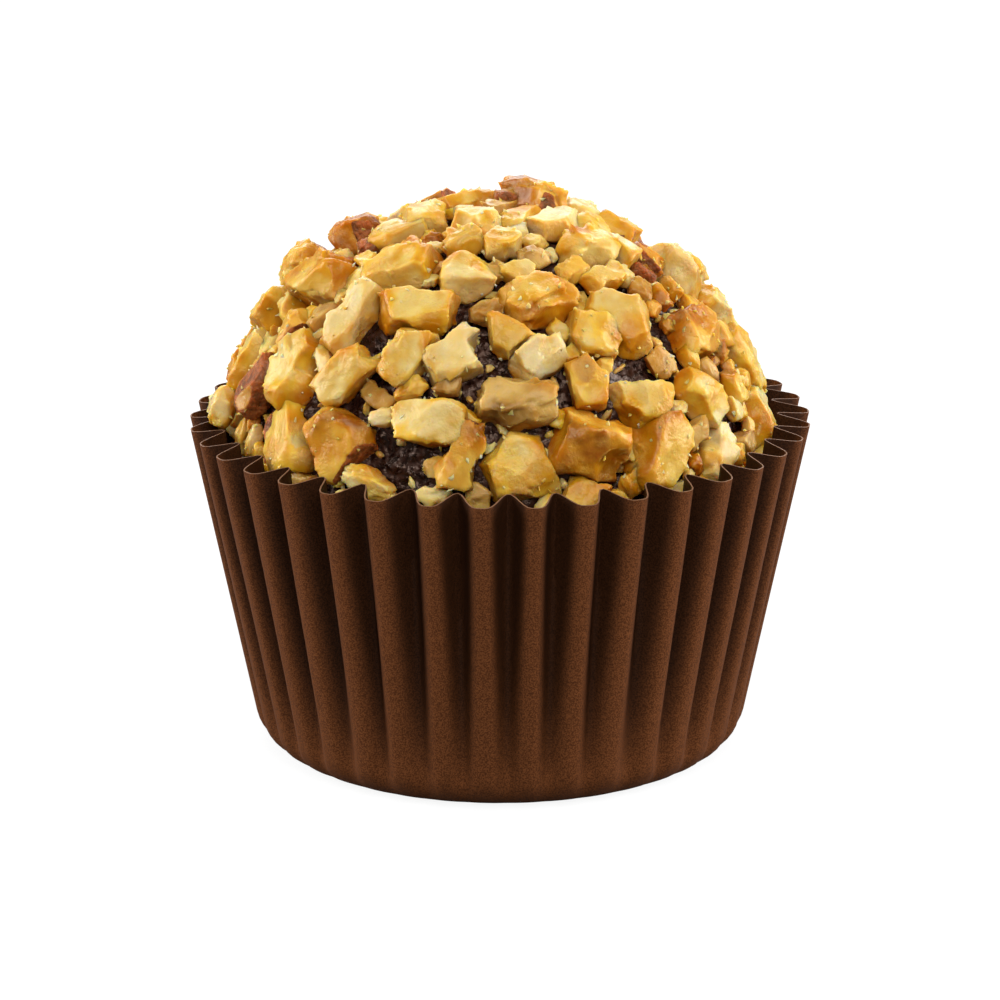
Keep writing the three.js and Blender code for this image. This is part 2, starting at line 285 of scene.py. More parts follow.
@dataclass(frozen=True)
class FleshLook:
    """How the look of roasted nut wanders: waves to a metre, tints and shares."""

    broad_waves: float = 360.0
    fine_waves: float = 1900.0
    crumb_waves: float = 5200.0
    clear_waves: float = 300.0
    cloud_waves: float = 820.0
    flour_waves: float = 700.0
    pores_to_a_metre: float = 620.0
    clear_span: Span = (0.44, 0.62)
    cloud_span: Span = (0.42, 0.66)
    flour_span: Span = (0.46, 0.7)
    ridge_span: Span = (0.25, 1.1)
    pore_odds: Span = (0.85, 0.86)
    pore_rim: Span = (0.05, 0.14)
    skin_span: Span = (0.42, 0.58)
    shade_span: Span = (0.38, 0.62)
    clear_tint: Colour = (0.84, 0.64, 0.24)
    cloud_tint: Colour = (0.84, 0.7, 0.45)
    # The tint of the painted shade on the lower part of each nut; low below is its strength.
    painted_low_shade_tint: Colour = (0.88, 0.43, 0.12)
    fine_toast: float = 0.3
    cloud: float = 0.35
    low: float = 0.75
    # The pale powder on the edges is partly painted highlight; the floury patches are the nut's own
    # colour.
    ridge_powder_and_highlight: float = 0.65
    flour_powder: float = 0.55
    powder_and_highlight_cover: float = 0.5
    skin_fray: float = 0.35
    skin_shade: float = 0.6
    shade_shares: Span = (0.7, 0.3)
    crumb_relief: float = 0.6
    plain_relief: float = 0.2
    skin_relief: float = 0.8
    pore_depth: float = 0.4
    rough: float = 0.25
    fine_rough: float = 0.1
    skin_rough: float = 0.16
    powder_rough: float = 0.3


class SharedEffects:
    """The node groups that more than one material uses, each built once."""

    coarse_share: ClassVar[float] = 0.3
    mask_span: ClassVar[Span] = (0.35, 0.65)

    def __init__(self) -> None:
        """Builds the groups."""
        self.grain = self.build_grain()
        self.flesh = self.build_flesh(FleshLook())

    def build_grain(self) -> bpy.types.NodeTree:
        """Returns fine and coarse grain in one, as a mask and a height, in waves to a metre."""
        inputs, outputs = {"Float": ("Scale", "Coarseness")}, {"Float": ("Mask", "Height")}
        graph = NodeGraph.with_sockets("ShaderNodeTree", "fine_grain", inputs, outputs)
        where = graph.out(graph.add("ShaderNodeTexCoord"), "Object")
        scale = graph.given["Scale"]
        fine = graph.noise(where, scale, 3.0)
        coarse = graph.noise(where, scale * self.coarse_share, 2.0)
        height = fine + graph.given["Coarseness"] * coarse
        graph.close({"Mask": graph.stepped(fine, *self.mask_span), "Height": height})
        return graph.tree

    @staticmethod
    def build_flesh(look: FleshLook) -> bpy.types.NodeTree:
        """Builds the look of roasted nut, from the toast, edge, skin and painted low shade that a
        mesh carries.

        Args:
            look: how it wanders.

        Returns:
            The node group, which gives a colour, a roughness and a height.
        """
        inputs = {
            "Color": ("Pale", "Middle", "Deep", "Powder and highlight", "Skin"),
            "Float": ("Mottle", "Glaze", "Pores"),
        }
        outputs = {"Color": ("Color",), "Float": ("Roughness", "Height")}
        graph = NodeGraph.with_sockets("ShaderNodeTree", "roasted_flesh", inputs, outputs)
        given = graph.given
        where = graph.out(graph.add("ShaderNodeTexCoord"), "Object")
        broad = graph.noise(where, look.broad_waves, 2.0)
        fine = graph.noise(where, look.fine_waves, 3.0)
        crumb = graph.noise(where, look.crumb_waves, 2.0)

        toast = graph.attribute("toast") + given["Mottle"] * (broad - 0.5)
        toast = toast + (fine - 0.5) * look.fine_toast
        colour = graph.mixed(graph.stepped(toast, 0.0, 0.5), given["Pale"], given["Middle"])
        colour = graph.mixed(graph.stepped(toast, 0.5, 1.0), colour, given["Deep"])

        clear = graph.stepped(graph.noise(where, look.clear_waves, 3.0), *look.clear_span)
        colour = graph.multiplied(clear * given["Glaze"], colour, look.clear_tint)
        cloud = graph.stepped(graph.noise(where, look.cloud_waves, 3.0), *look.cloud_span)
        colour = graph.multiplied(cloud * look.cloud, colour, look.cloud_tint)
        # Painted shade: the lower part of each nut is darkened and warmed.
        colour = graph.multiplied(graph.attribute("low") * look.low, colour, look.painted_low_shade_tint)

        floury = graph.stepped(graph.noise(where, look.flour_waves, 4.0), *look.flour_span)
        # Pale powdery colour on the edges and in floury patches; along the edges it is partly
        # painted highlight, standing in for light glowing through thin edges.
        ridge = graph.stepped(graph.attribute("edge") + (fine - 0.5) * 2.0, *look.ridge_span)
        amounts = (ridge * look.ridge_powder_and_highlight, floury * look.flour_powder)
        powder_and_highlight = graph.reckon("MAXIMUM", *amounts)
        colour = graph.mixed(powder_and_highlight * look.powder_and_highlight_cover, colour, given["Powder and highlight"])

        pores = {"Vector": where, "Scale": look.pores_to_a_metre}
        cells = graph.add("ShaderNodeTexVoronoi", pores)
        chosen = graph.stepped(graph.out(cells, "Color"), *look.pore_odds)
        dot = (1.0 - graph.stepped(graph.out(cells, "Distance"), *look.pore_rim)) * chosen
        colour = graph.mixed(dot * given["Pores"], colour, given["Skin"])

        frayed = graph.attribute("skin") + (fine - 0.5) * look.skin_fray
        skin = graph.stepped(frayed, *look.skin_span)
        of_fine, of_crumb = look.shade_shares
        shade = graph.stepped(fine * of_fine + crumb * of_crumb, *look.shade_span)
        dark = graph.mixed(look.skin_shade, given["Skin"], BLACK)
        colour = graph.mixed(skin, colour, graph.mixed(shade, dark, given["Skin"]))

        rough = look.rough + look.fine_rough * fine
        rough = rough + look.skin_rough * skin + look.powder_rough * powder_and_highlight
        grain = (fine - 0.5) + look.crumb_relief * (crumb - 0.5)
        height = grain * (look.plain_relief + powder_and_highlight + look.skin_relief * skin)
        height = height - look.pore_depth * dot
        graph.close({"Color": colour, "Roughness": rough, "Height": height})
        return graph.tree


# ------------------------------------------------------------------ finishes


class Finish:
    """What a piece is made of, as it looks."""

    name: str

    def material(self, effects: "SharedEffects") -> bpy.types.Material:
        """Returns the material, which may use the shared node groups."""
        material = bpy.data.materials.new(self.name)
        material.use_nodes = True
        material.node_tree.nodes.clear()
        self.fill(NodeGraph(material.node_tree), effects)
        return material

    def fill(self, graph: NodeGraph, effects: "SharedEffects") -> None:
        """Adds the material's own nodes, which every finish does in its own way."""
        raise NotImplementedError


@dataclass(frozen=True)
class NutFinish(Finish):
    """Roasted nut of one tone, waxy and faintly translucent."""

    POWDER_AND_HIGHLIGHT_GAIN: ClassVar[float] = 1.02
    POWDER_AND_HIGHLIGHT_LIFT: ClassVar[float] = 0.02

    name: str
    pale: Colour
    middle: Colour
    deep: Colour
    skin: Colour = (0.3, 0.08, 0.016)
    mottle: float = 3.2
    glaze: float = 1.0
    pores: float = 0.6
    glow: float = 0.65
    glow_colour: Colour = (1.0, 0.48, 0.1)
    glow_depth: float = 1.3
    shine: float = 0.3
    shine_tint: Colour = (1.0, 0.88, 0.66)
    bump: float = 0.9
    relief: float = 0.22

    def fill(self, graph: NodeGraph, effects: SharedEffects) -> None:
        """Adds the flesh, the skin and the waxy surface."""
        # The colour of the powder, which also serves as the painted highlight on the edges.
        powder_and_highlight = tuple(min(self.POWDER_AND_HIGHLIGHT_GAIN * share + self.POWDER_AND_HIGHLIGHT_LIFT, 1.0) for share in self.pale)
        looks = {
            "Pale": self.pale,
            "Middle": self.middle,
            "Deep": self.deep,
            "Powder and highlight": powder_and_highlight,
            "Skin": self.skin,
            "Mottle": self.mottle,
            "Glaze": self.glaze,
            "Pores": self.pores,
        }
        flesh = graph.add("ShaderNodeGroup", looks, node_tree=effects.flesh)
        inputs = {
            "Base Color": flesh.outputs["Color"],
            "Roughness": flesh.outputs["Roughness"],
            "Subsurface Weight": self.glow,
            "Subsurface Radius": self.glow_colour,
            "Subsurface Scale": self.glow_depth * MM,
            "Specular IOR Level": self.shine,
            "Specular Tint": (*self.shine_tint, 1.0),
        }
        graph.surface(flesh.outputs["Height"], self.bump, self.relief, inputs)


@dataclass(frozen=True)
class ChocolateFinish(Finish):
    """Soft, moist and finely granular chocolate."""

    name: str = "moist_chocolate"
    dark: Colour = (0.005, 0.0018, 0.0013)
    light: Colour = (0.024, 0.0085, 0.0055)
    grain_scale: float = 2600.0
    coarseness: float = 0.8
    rough: float = 0.2
    grain_rough: float = 0.18
    shine: float = 0.38
    shine_tint: Colour = (1.0, 0.66, 0.5)
    lump_share: float = 0.8
    grain_share: float = 0.5
    bump: float = 1.0
    relief: float = 0.26

    def fill(self, graph: NodeGraph, effects: SharedEffects) -> None:
        """Adds the grain and the lumps of a dark, glossy surface."""
        where = graph.out(graph.add("ShaderNodeTexCoord"), "Object")
        looks = {"Scale": self.grain_scale, "Coarseness": self.coarseness}
        grain = graph.add("ShaderNodeGroup", looks, node_tree=effects.grain)
        mask = graph.out(grain, "Mask")
        lump_inputs = {"Vector": where, "Scale": self.grain_scale * self.lump_share}
        cells = graph.add("ShaderNodeTexVoronoi", lump_inputs, feature="SMOOTH_F1")
        lumps = 1.0 - graph.out(cells, "Distance")
        inputs = {
            "Base Color": graph.mixed(mask, self.dark, self.light),
            "Roughness": self.rough + self.grain_rough * mask,
            "Specular IOR Level": self.shine,
            "Specular Tint": (*self.shine_tint, 1.0),
        }
        height = lumps + graph.out(grain, "Height") * self.grain_share
        graph.surface(height, self.bump, self.relief, inputs)


@dataclass(frozen=True)
class PaperFinish(Finish):
    """Dark brown greaseproof paper with a fine grain, painted shade in its folds and paler cut
    edges.
    """

    name: str = "greaseproof_paper"
    dark: Colour = (0.063, 0.0188, 0.0048)
    light: Colour = (0.154, 0.0495, 0.0148)
    # The painted shade in the folds: where it starts and ends on its mask, and how dark it gets.
    painted_fold_shade_span: Span = (0.02, 0.62)
    painted_fold_shade_strength: float = 0.76
    cut: Colour = (0.17, 0.085, 0.045)
    grain_scale: float = 12000.0
    coarseness: float = 0.3
    rough: float = 0.5
    grain_rough: float = 0.14
    shine: float = 0.1
    bump: float = 0.6
    relief: float = 0.015

    def fill(self, graph: NodeGraph, effects: SharedEffects) -> None:
        """Adds the grain, the painted shade in the folds and the cut edge."""
        looks = {"Scale": self.grain_scale, "Coarseness": self.coarseness}
        grain = graph.add("ShaderNodeGroup", looks, node_tree=effects.grain)
        mask = graph.out(grain, "Mask")
        colour = graph.mixed(mask, self.dark, self.light)
        # Painted shade: the paper is darkened towards black down in the folds, most near the rim.
        fold = graph.stepped(graph.attribute("painted_fold_shade"), *self.painted_fold_shade_span) * self.painted_fold_shade_strength
        colour = graph.mixed(fold, colour, BLACK)
        colour = graph.mixed(graph.attribute("cut_edge"), colour, self.cut)
        inputs = {
            "Base Color": colour,
            "Roughness": self.rough + self.grain_rough * mask,
            "Specular IOR Level": self.shine,
        }
        graph.surface(graph.out(grain, "Height"), self.bump, self.relief, inputs)


@dataclass(frozen=True)
class FloorFinish(Finish):
    """Matt white card, which throws back less light than it seems to."""

    name: str = "white_card"
    colour: Colour = (0.93, 0.93, 0.93)
    bounce: Colour = (0.15, 0.15, 0.15)
    evenness: float = 0.88
    glow: float = 1.1

    def fill(self, graph: NodeGraph, effects: SharedEffects) -> None:
        """Adds the card as the camera sees it and as the sweet does."""
        seen = graph.out(graph.add("ShaderNodeLightPath"), "Is Camera Ray")
        lit = graph.add("ShaderNodeBsdfDiffuse", {"Color": self.colour})
        plain = graph.add("ShaderNodeEmission", {"Color": self.colour, "Strength": self.glow})
        layers = {0: self.evenness, 1: lit.outputs[0], 2: plain.outputs[0]}
        card = graph.add("ShaderNodeMixShader", layers)
        dim = graph.add("ShaderNodeBsdfDiffuse", {"Color": self.bounce})
        either = graph.add("ShaderNodeMixShader", {0: seen, 1: dim.outputs[0], 2: card.outputs[0]})
        graph.add("ShaderNodeOutputMaterial", {"Surface": either.outputs[0]})


# ------------------------------------------------------------------ meshes


class SeededDraw:
    """Draws numbers from 0 to 1, always the same ones for one seed."""

    WORD = 0xFFFFFFFF

    def __init__(self, seed: int) -> None:
        """Starts at a seed."""
        self.state = seed

    def __call__(self) -> float:
        """Returns the next number."""
        self.state = (self.state + 0x6D2B79F5) & self.WORD
        mixed = (self.state ^ self.state >> 15) * (self.state | 1) & self.WORD
        mixed ^= mixed + (mixed ^ mixed >> 7) * (mixed | 61) & self.WORD
        return (mixed ^ mixed >> 14) / (self.WORD + 1)


def directions_of(turn: np.ndarray, rise: np.ndarray) -> np.ndarray:
    """Returns the unit directions of some turns and rises in radians, one to a row."""
    across = np.cos(rise)
    return np.stack([across * np.sin(turn), -across * np.cos(turn), np.sin(rise)], axis=-1)


def level_way(angle: float, up: float = 0.0) -> np.ndarray:
    """Returns a way at an angle in radians in the XY plane, raised by up."""
    return np.array([math.cos(angle), math.sin(angle), up])


def lattice_noise(points: np.ndarray, seed: int) -> np.ndarray:
    """Returns smooth noise from -1 to 1, about one wave to a unit.

    Args:
        points: one point to a row.
        seed: which noise it is.

    Returns:
        One number to a point.
    """
    cell = np.floor(points).astype(np.int64)
    part = points - cell
    ease = part * part * (3 - 2 * part)
    total = np.zeros(len(points))
    for corner in range(8):
        step = np.array([corner & 1, corner >> 1 & 1, corner >> 2 & 1])
        x, y, z = (cell + step).T
        mixed = (x * 73856093 ^ y * 19349663 ^ z * 83492791 ^ seed * 2654435761) & 0x7FFFFFFF
        mixed = (mixed ^ mixed >> 13) * 1274126177 & 0x7FFFFFFF
        mixed = (mixed ^ mixed >> 16) * 1103515245 & 0x7FFFFFFF
        weight = np.prod(np.where(step, ease, 1 - ease), axis=1)
        total += weight * (mixed / 0x3FFFFFFF - 1)
    return total


class CubeBall:
    """A cube's grid of faces, blown up into a ball, without poles."""

    def __init__(self, steps: int) -> None:
        """Works out the grid.

        Args:
            steps: faces along each edge of the cube.
        """
        ticks = np.tan(np.linspace(-1, 1, steps + 1) * math.pi / 4)
        across, up = np.meshgrid(ticks, ticks, indexing="ij")
        across, up = across.ravel(), up.ravel()
        corner = np.arange((steps + 1) ** 2).reshape(steps + 1, steps + 1)
        square = np.stack([corner[:-1, :-1], corner[1:, :-1], corner[1:, 1:], corner[:-1, 1:]], -1)
        square = square.reshape(-1, 4)
        points, faces = [], []
        for axis in range(3):
            for side in (1, -1):
                point = np.zeros((len(across), 3))
                point[:, axis] = side
                point[:, (axis + 1) % 3] = across * side
                point[:, (axis + 2) % 3] = up
                faces.append(square + len(points) * len(across))
                points.append(point)
        loose = np.concatenate(points)
        keys = np.round(loose, 9)
        _, first, shared = np.unique(keys, axis=0, return_index=True, return_inverse=True)
        self.cube = loose[first]
        self.faces = shared.reshape(-1)[np.concatenate(faces)]

    def directions(self, half_sizes: Sequence[float] = (1, 1, 1)) -> np.ndarray:
        """Returns unit directions spread as on a ball stretched to the half sizes."""
        ball = self.cube / np.linalg.norm(self.cube, axis=1, keepdims=True)
        stretched = ball * np.asarray(half_sizes)
        return stretched / np.linalg.norm(stretched, axis=1, keepdims=True)


def mesh_object(
    name: str,
    points: np.ndarray,
    faces: np.ndarray,
    numbers: Optional[Mapping[str, np.ndarray]] = None,
) -> bpy.types.Object:
    """Makes a smooth mesh object at the origin.

    Args:
        name: the object's name.
        points: its vertices, in millimetres.
        faces: its faces, all with the same number of corners.
        numbers: the number that each vertex carries, by name.

    Returns:
        The object, linked to the scene.
    """
    mesh = bpy.data.meshes.new(name)
    mesh.from_pydata((points * MM).tolist(), [], faces.tolist())
    mesh.shade_smooth()
    for label, values in (numbers or {}).items():
        mesh.attributes.new(label, "FLOAT", "POINT").data.foreach_set("value", values)
    made = bpy.data.objects.new(name, mesh)
    bpy.context.scene.collection.objects.link(made)
    return made


def grown(
    name: str, graph: NodeGraph, inputs: Mapping[str, object], host: Optional[bpy.types.Mesh] = None
) -> bpy.types.Object:
    """Runs a geometry node tree once and keeps its result as a plain mesh.

    Args:
        name: the new object's name.
        graph: the tree.
        inputs: the value of each of its named inputs.
        host: the mesh that the tree starts from, where it needs one.

    Returns:
        The object, without a modifier.
    """
    made = bpy.data.objects.new(name, host or bpy.data.meshes.new(name))
    bpy.context.scene.collection.objects.link(made)
    modifier = made.modifiers.new(name, "NODES")
    modifier.node_group = graph.tree
    for socket in graph.tree.interface.items_tree:
        if socket.in_out == "INPUT" and socket.name in inputs:
            modifier[socket.identifier] = inputs[socket.name]
    depsgraph = bpy.context.evaluated_depsgraph_get()
    mesh = bpy.data.meshes.new_from_object(made.evaluated_get(depsgraph))
    made.modifiers.remove(modifier)
    made.data = mesh
    mesh.name = name
    return made


def place(piece: bpy.types.Object, slot: str, *nodes: str) -> None:
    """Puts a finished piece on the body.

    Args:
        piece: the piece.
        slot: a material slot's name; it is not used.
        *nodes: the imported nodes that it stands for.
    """
    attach(piece, BODY)
    if nodes:
        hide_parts(*nodes)
    faces = sum(len(polygon.vertices) - 2 for polygon in piece.data.polygons)
    LOG.info("piece %s: %d triangles", piece.name, faces)


# ------------------------------------------------------------------ the paper cup


@dataclass
class PaperCup:
    """The pleated paper cup, grown by geometry nodes from its named sizes.

    Lengths are in millimetres and angles in radians, and all else is shares and counts.
    """

    height: float = 19.15
    rim_radius: float = 17.8
    base_radius: float = 13.8
    foot_round: float = 2.5
    paper: float = 0.08
    pleats: int = 37
    depth_rim: float = 1.8
    depth_foot: float = 0.45
    valley_lift: float = 0.29
    valley_power: float = 1.9
    first_crest: float = math.radians(6.23)
    unevenness: float = 0.05
    wander_waves: Triple = (4.2, 3.1, 1.1)
    wander_rise: float = 0.12
    depth_spread: float = 0.5
    sway: float = 0.5
    seam: float = 0.002
    bottom_share: float = 0.08
    foot_share: float = 0.25
    sharp_angle: float = 1.0
    columns_per_pleat: int = 14
    rows: int = 49
    finish: PaperFinish = PaperFinish()

    @property
    def slope(self) -> float:
        """The angle of the wall above the horizon."""
        return math.atan2(self.height, self.rim_radius - self.base_radius)

    @property
    def foot_middle(self) -> float:
        """The radius of the flat bottom."""
        return self.base_radius - self.foot_round * math.tan(self.slope / 2)

    @property
    def foot_top(self) -> tuple[float, float]:
        """The radius and height at which the rounded bottom edge meets the wall."""
        radius = self.foot_middle + self.foot_round * math.sin(self.slope)
        return radius, self.foot_round * (1 - math.cos(self.slope))

    def inner_radius(self, turn: np.ndarray, height: np.ndarray) -> np.ndarray:
        """Returns the radius of the inside of the wall.

        Args:
            turn: angles round the upright axis, in radians.
            height: heights above the floor, in millimetres.

        Returns:
            One radius to a point, in millimetres.
        """
        top_radius, top_height = self.foot_top
        up = np.clip((height - top_height) / (self.height - top_height), 0, 1)
        wave = ((1 - np.cos(self.pleats * (turn - self.first_crest))) / 2) ** self.valley_power
        depth = self.depth_foot + (self.depth_rim - self.depth_foot) * up
        outside = top_radius + (self.rim_radius - top_radius) * up - depth * wave
        return outside - self.paper

    def graph(self, inputs: Mapping[str, object]) -> NodeGraph:
        """Builds the tree: a flat grid is bent into the pleated wall and given its thickness.

        Args:
            inputs: the value of each named input.

        Returns:
            The graph of the tree.
        """
        graph = NodeGraph.for_geometry("pleated_cup", inputs)
        given = graph.given
        size = {"Size X": math.tau, "Size Y": 1.0}
        size |= {"Vertices X": given["Columns"], "Vertices Y": given["Rows"]}
        sheet = graph.add("GeometryNodeMeshGrid", size)
        spot = graph.add("GeometryNodeInputPosition")
        apart = graph.add("ShaderNodeSeparateXYZ", {0: spot.outputs[0]})
        turn = graph.out(apart, "X")
        way = graph.out(apart, "Y") + 0.5
        bottom = graph.stepped(way, 0.0, self.bottom_share, smooth=False)
        foot = graph.stepped(way, self.bottom_share, self.foot_share, smooth=False)
        up = graph.stepped(way, self.foot_share, 1.0, smooth=False)

        sine = graph.reckon("SINE", turn)
        cosine = graph.reckon("COSINE", turn)
        round_ring = {"X": sine, "Y": cosine, "Z": up * self.wander_rise}
        ring = graph.out(graph.add("ShaderNodeCombineXYZ", round_ring))
        wander, stretch, sway = (graph.noise(ring, waves, 1.0) - 0.5 for waves in self.wander_waves)

        phase = (turn - given["First crest"] + wander * given["Unevenness"]) * given["Pleats"]
        fold = (1.0 - graph.reckon("COSINE", phase)) * 0.5
        wave = fold ** given["Valley power"]
        deeper = (given["Depth at rim"] - given["Depth at foot"]) * up
        depth = given["Depth at foot"] * foot * foot + deeper * (1.0 + self.depth_spread * stretch)

        slope = given["Slope"] * foot
        radius = given["Bottom radius"] * bottom
        radius = radius + given["Foot round"] * graph.reckon("SINE", slope)
        radius = radius + (given["Rim radius"] - given["Foot top radius"]) * up
        radius = radius - depth * wave + sway * up * (self.sway * MM)
        height = given["Foot round"] * (1.0 - graph.reckon("COSINE", slope))
        height = height + (given["Height"] - given["Foot top height"]) * up
        height = height + given["Valley lift"] * wave * up
        corner = {"X": radius * sine, "Y": radius * cosine * -1.0, "Z": height}
        bent = graph.add("ShaderNodeCombineXYZ", corner).outputs[0]

        seam = {"Distance": self.seam * MM}
        # Stores the mask of the painted shade in the folds before the sheet is bent: full in the
        # valleys, fading towards the foot.
        marked = graph.stored(sheet.outputs["Mesh"], "painted_fold_shade", fold * up**0.5, "POINT")
        wall = graph.shaped("GeometryNodeSetPosition", marked, {"Position": bent})
        closed = graph.shaped("GeometryNodeMergeByDistance", wall, seam)
        thick = {"Mesh": closed, "Offset Scale": given["Paper"] * -1.0, "Individual": False}
        inside = graph.add("GeometryNodeExtrudeMesh", thick, mode="FACES")
        side = graph.out(inside, "Side")
        rimmed = graph.stored(inside.outputs["Mesh"], "cut_edge", side, "FACE")
        both = graph.add("GeometryNodeJoinGeometry")
        for part in (graph.shaped("GeometryNodeFlipFaces", rimmed), closed):
            graph.tree.links.new(part, both.inputs[0])
        whole = graph.shaped("GeometryNodeMergeByDistance", both.outputs[0], seam)
        smooth = graph.shaped("GeometryNodeSetShadeSmooth", whole)
        angle = graph.out(graph.add("GeometryNodeInputMeshEdgeAngle"), "Unsigned Angle")
        keen = graph.reckon("GREATER_THAN", angle, self.sharp_angle)
        sharp = {"Selection": keen, "Shade Smooth": False}
        graph.finished(graph.shaped("GeometryNodeSetShadeSmooth", smooth, sharp, domain="EDGE"))
        return graph

    def build(self, effects: SharedEffects) -> bpy.types.Object:
        """Grows the cup, puts it on the body and returns it."""
        foot_radius, foot_height = self.foot_top
        lengths = {
            "Height": self.height,
            "Rim radius": self.rim_radius,
            "Bottom radius": self.foot_middle,
            "Foot top radius": foot_radius,
            "Foot top height": foot_height,
            "Foot round": self.foot_round,
            "Depth at rim": self.depth_rim,
            "Depth at foot": self.depth_foot,
            "Valley lift": self.valley_lift,
            "Paper": self.paper,
        }
        inputs = {label: length * MM for label, length in lengths.items()}
        inputs |= {
            "Columns": self.pleats * self.columns_per_pleat + 1,
            "Rows": self.rows,
            "Finish": self.finish.material(effects),
            "Slope": self.slope,
            "Pleats": float(self.pleats),
            "Valley power": self.valley_power,
            "First crest": self.first_crest,
            "Unevenness": self.unevenness,
        }
        cup = grown("pleated_cup", self.graph(inputs), inputs)
        place(cup, "brown_paper", "paper_cup")
        return cup


# ------------------------------------------------------------------ the chocolate ball


@dataclass
class ChocolateBall:
    """The ball of soft chocolate, which has settled on the floor of the cup.

    Its fine lumps are a share of the height of the others, and so many times finer.
    """

    middle: Triple = (-0.3, 0.0, 16.3)
    radius: float = 14.6
    top_radius: float = 14.1
    bottom_radius: float = 16.3
    floor_height: float = 0.55
    steps: int = 90
    lump_size: float = 0.75
    lump_height: float = 0.26
    fine_lumps: Span = (0.5, 2.3)
    finish: ChocolateFinish = ChocolateFinish()

    def surface(self, directions: np.ndarray) -> np.ndarray:
        """Returns the points of the surface in some directions from the middle."""
        upright = np.where(directions[..., 2] < 0, self.bottom_radius, self.top_radius)
        stretched = directions / self.radius
        stretched[..., 2] = directions[..., 2] / upright
        distance = 1 / np.linalg.norm(stretched, axis=-1, keepdims=True)
        return np.asarray(self.middle) + directions * distance

    def build(self, effects: SharedEffects, nuts: "NutCoat") -> bpy.types.Object:
        """Builds the ball and puts it on the body.

        Args:
            effects: the shared node groups.
            nuts: the coating, which says where the chocolate lies bare.

        Returns:
            The ball. It carries how bare each of its places is.
        """
        grid = CubeBall(self.steps)
        directions = grid.directions()
        points = self.surface(directions)
        lumps = lattice_noise(points / self.lump_size, 3)
        share, finer = self.fine_lumps
        lumps += share * lattice_noise(points / self.lump_size * finer, 4)
        points += directions * (lumps * self.lump_height)[:, None]
        points[:, 2] = np.maximum(points[:, 2], self.floor_height)
        bare = nuts.bareness(directions)
        ball = mesh_object("chocolate_ball", points, grid.faces, {"bare": bare})
        ball.data.materials.append(self.finish.material(effects))
        place(ball, "nut_coating", "sweet")
        return ball


# ------------------------------------------------------------------ the coating of nuts


class Tone(Enum):
    """How a nut came out of the oven. The value is the name of its piece.

    The odds and the finishes of the coating follow the order of the tones.
    """

    CREAM = "nuts_cream"
    PALE = "nuts_pale_gold"
    HONEY = "nuts_honey"
    GOLD = "nuts_golden"
    AMBER = "nuts_amber"
    TAN = "nuts_tan"
    SKIN = "nuts_in_skin"


@dataclass(frozen=True)
class Cutting:
    """How a nut was chopped, as seen from outside: angles in degrees, all else as shares.

    A side is an angle and how far out it lies, a bite is an angle, a depth and a radius, and a
    lobe is an angle, a reach, a breadth and a height.
    """

    sides: tuple[Span, ...] = ()
    bites: tuple[Triple, ...] = ()
    lobes: tuple[tuple[float, float, float, float], ...] = ()
    thickness: float = 1.0
    swell: float = 1.25
    keenness: float = 40.0


class Form(Enum):
    """The main shapes of chopped nut."""

    CHUNK = Cutting()
    BLOCK = Cutting(((0, 0.97), (90, 0.95), (180, 0.97), (270, 0.95)))
    WEDGE = Cutting(((0, 0.95), (72, 0.86), (180, 0.97), (288, 0.86)), swell=1.3)
    TRIANGLE = Cutting(((30, 0.72), (150, 0.76), (270, 0.66), (90, 0.95)), swell=1.2)
    BONE = Cutting(
        ((0, 0.97), (90, 0.96), (180, 0.97), (270, 0.96)), bites=((80, 0.32, 0.5), (255, 0.26, 0.6))
    )
    HOOK = Cutting(
        ((0, 0.95), (90, 0.95), (180, 0.95), (270, 0.95)),
        bites=((-12, 0.5, 0.3), (118, 0.45, 0.55)),
        keenness=30.0,
    )
    BOOT = Cutting(
        ((0, 0.95), (90, 0.7), (180, 0.97), (270, 0.8)),
        lobes=((70, 1.0, 0.45, 0.8),),
        bites=((150, 0.38, 0.4),),
    )
    LUMP = Cutting(lobes=((20, 1.0, 0.5, 0.85), (200, 0.95, 0.55, 1.0)), swell=1.1, keenness=22.0)
    PEBBLE = Cutting(swell=1.0, keenness=14.0)
    FLAKE = Cutting(thickness=0.5, keenness=60.0)


@dataclass
class Nut:
    """A piece of chopped nut on the ball: angles in degrees, sizes in millimetres.

    Its toast makes it darker or paler than others of its tone.
    """

    turn: float
    rise: float
    length: float
    width: float
    roll: float
    tone: Tone
    form: Form = Form.CHUNK
    lift: float = 0.0
    toast: float = 0.0
    reach: float = 0.0
    direction: np.ndarray = field(default_factory=lambda: np.zeros(3))

    @property
    def size(self) -> float:
        """The nut's mean size across."""
        return (self.length + self.width) / 2


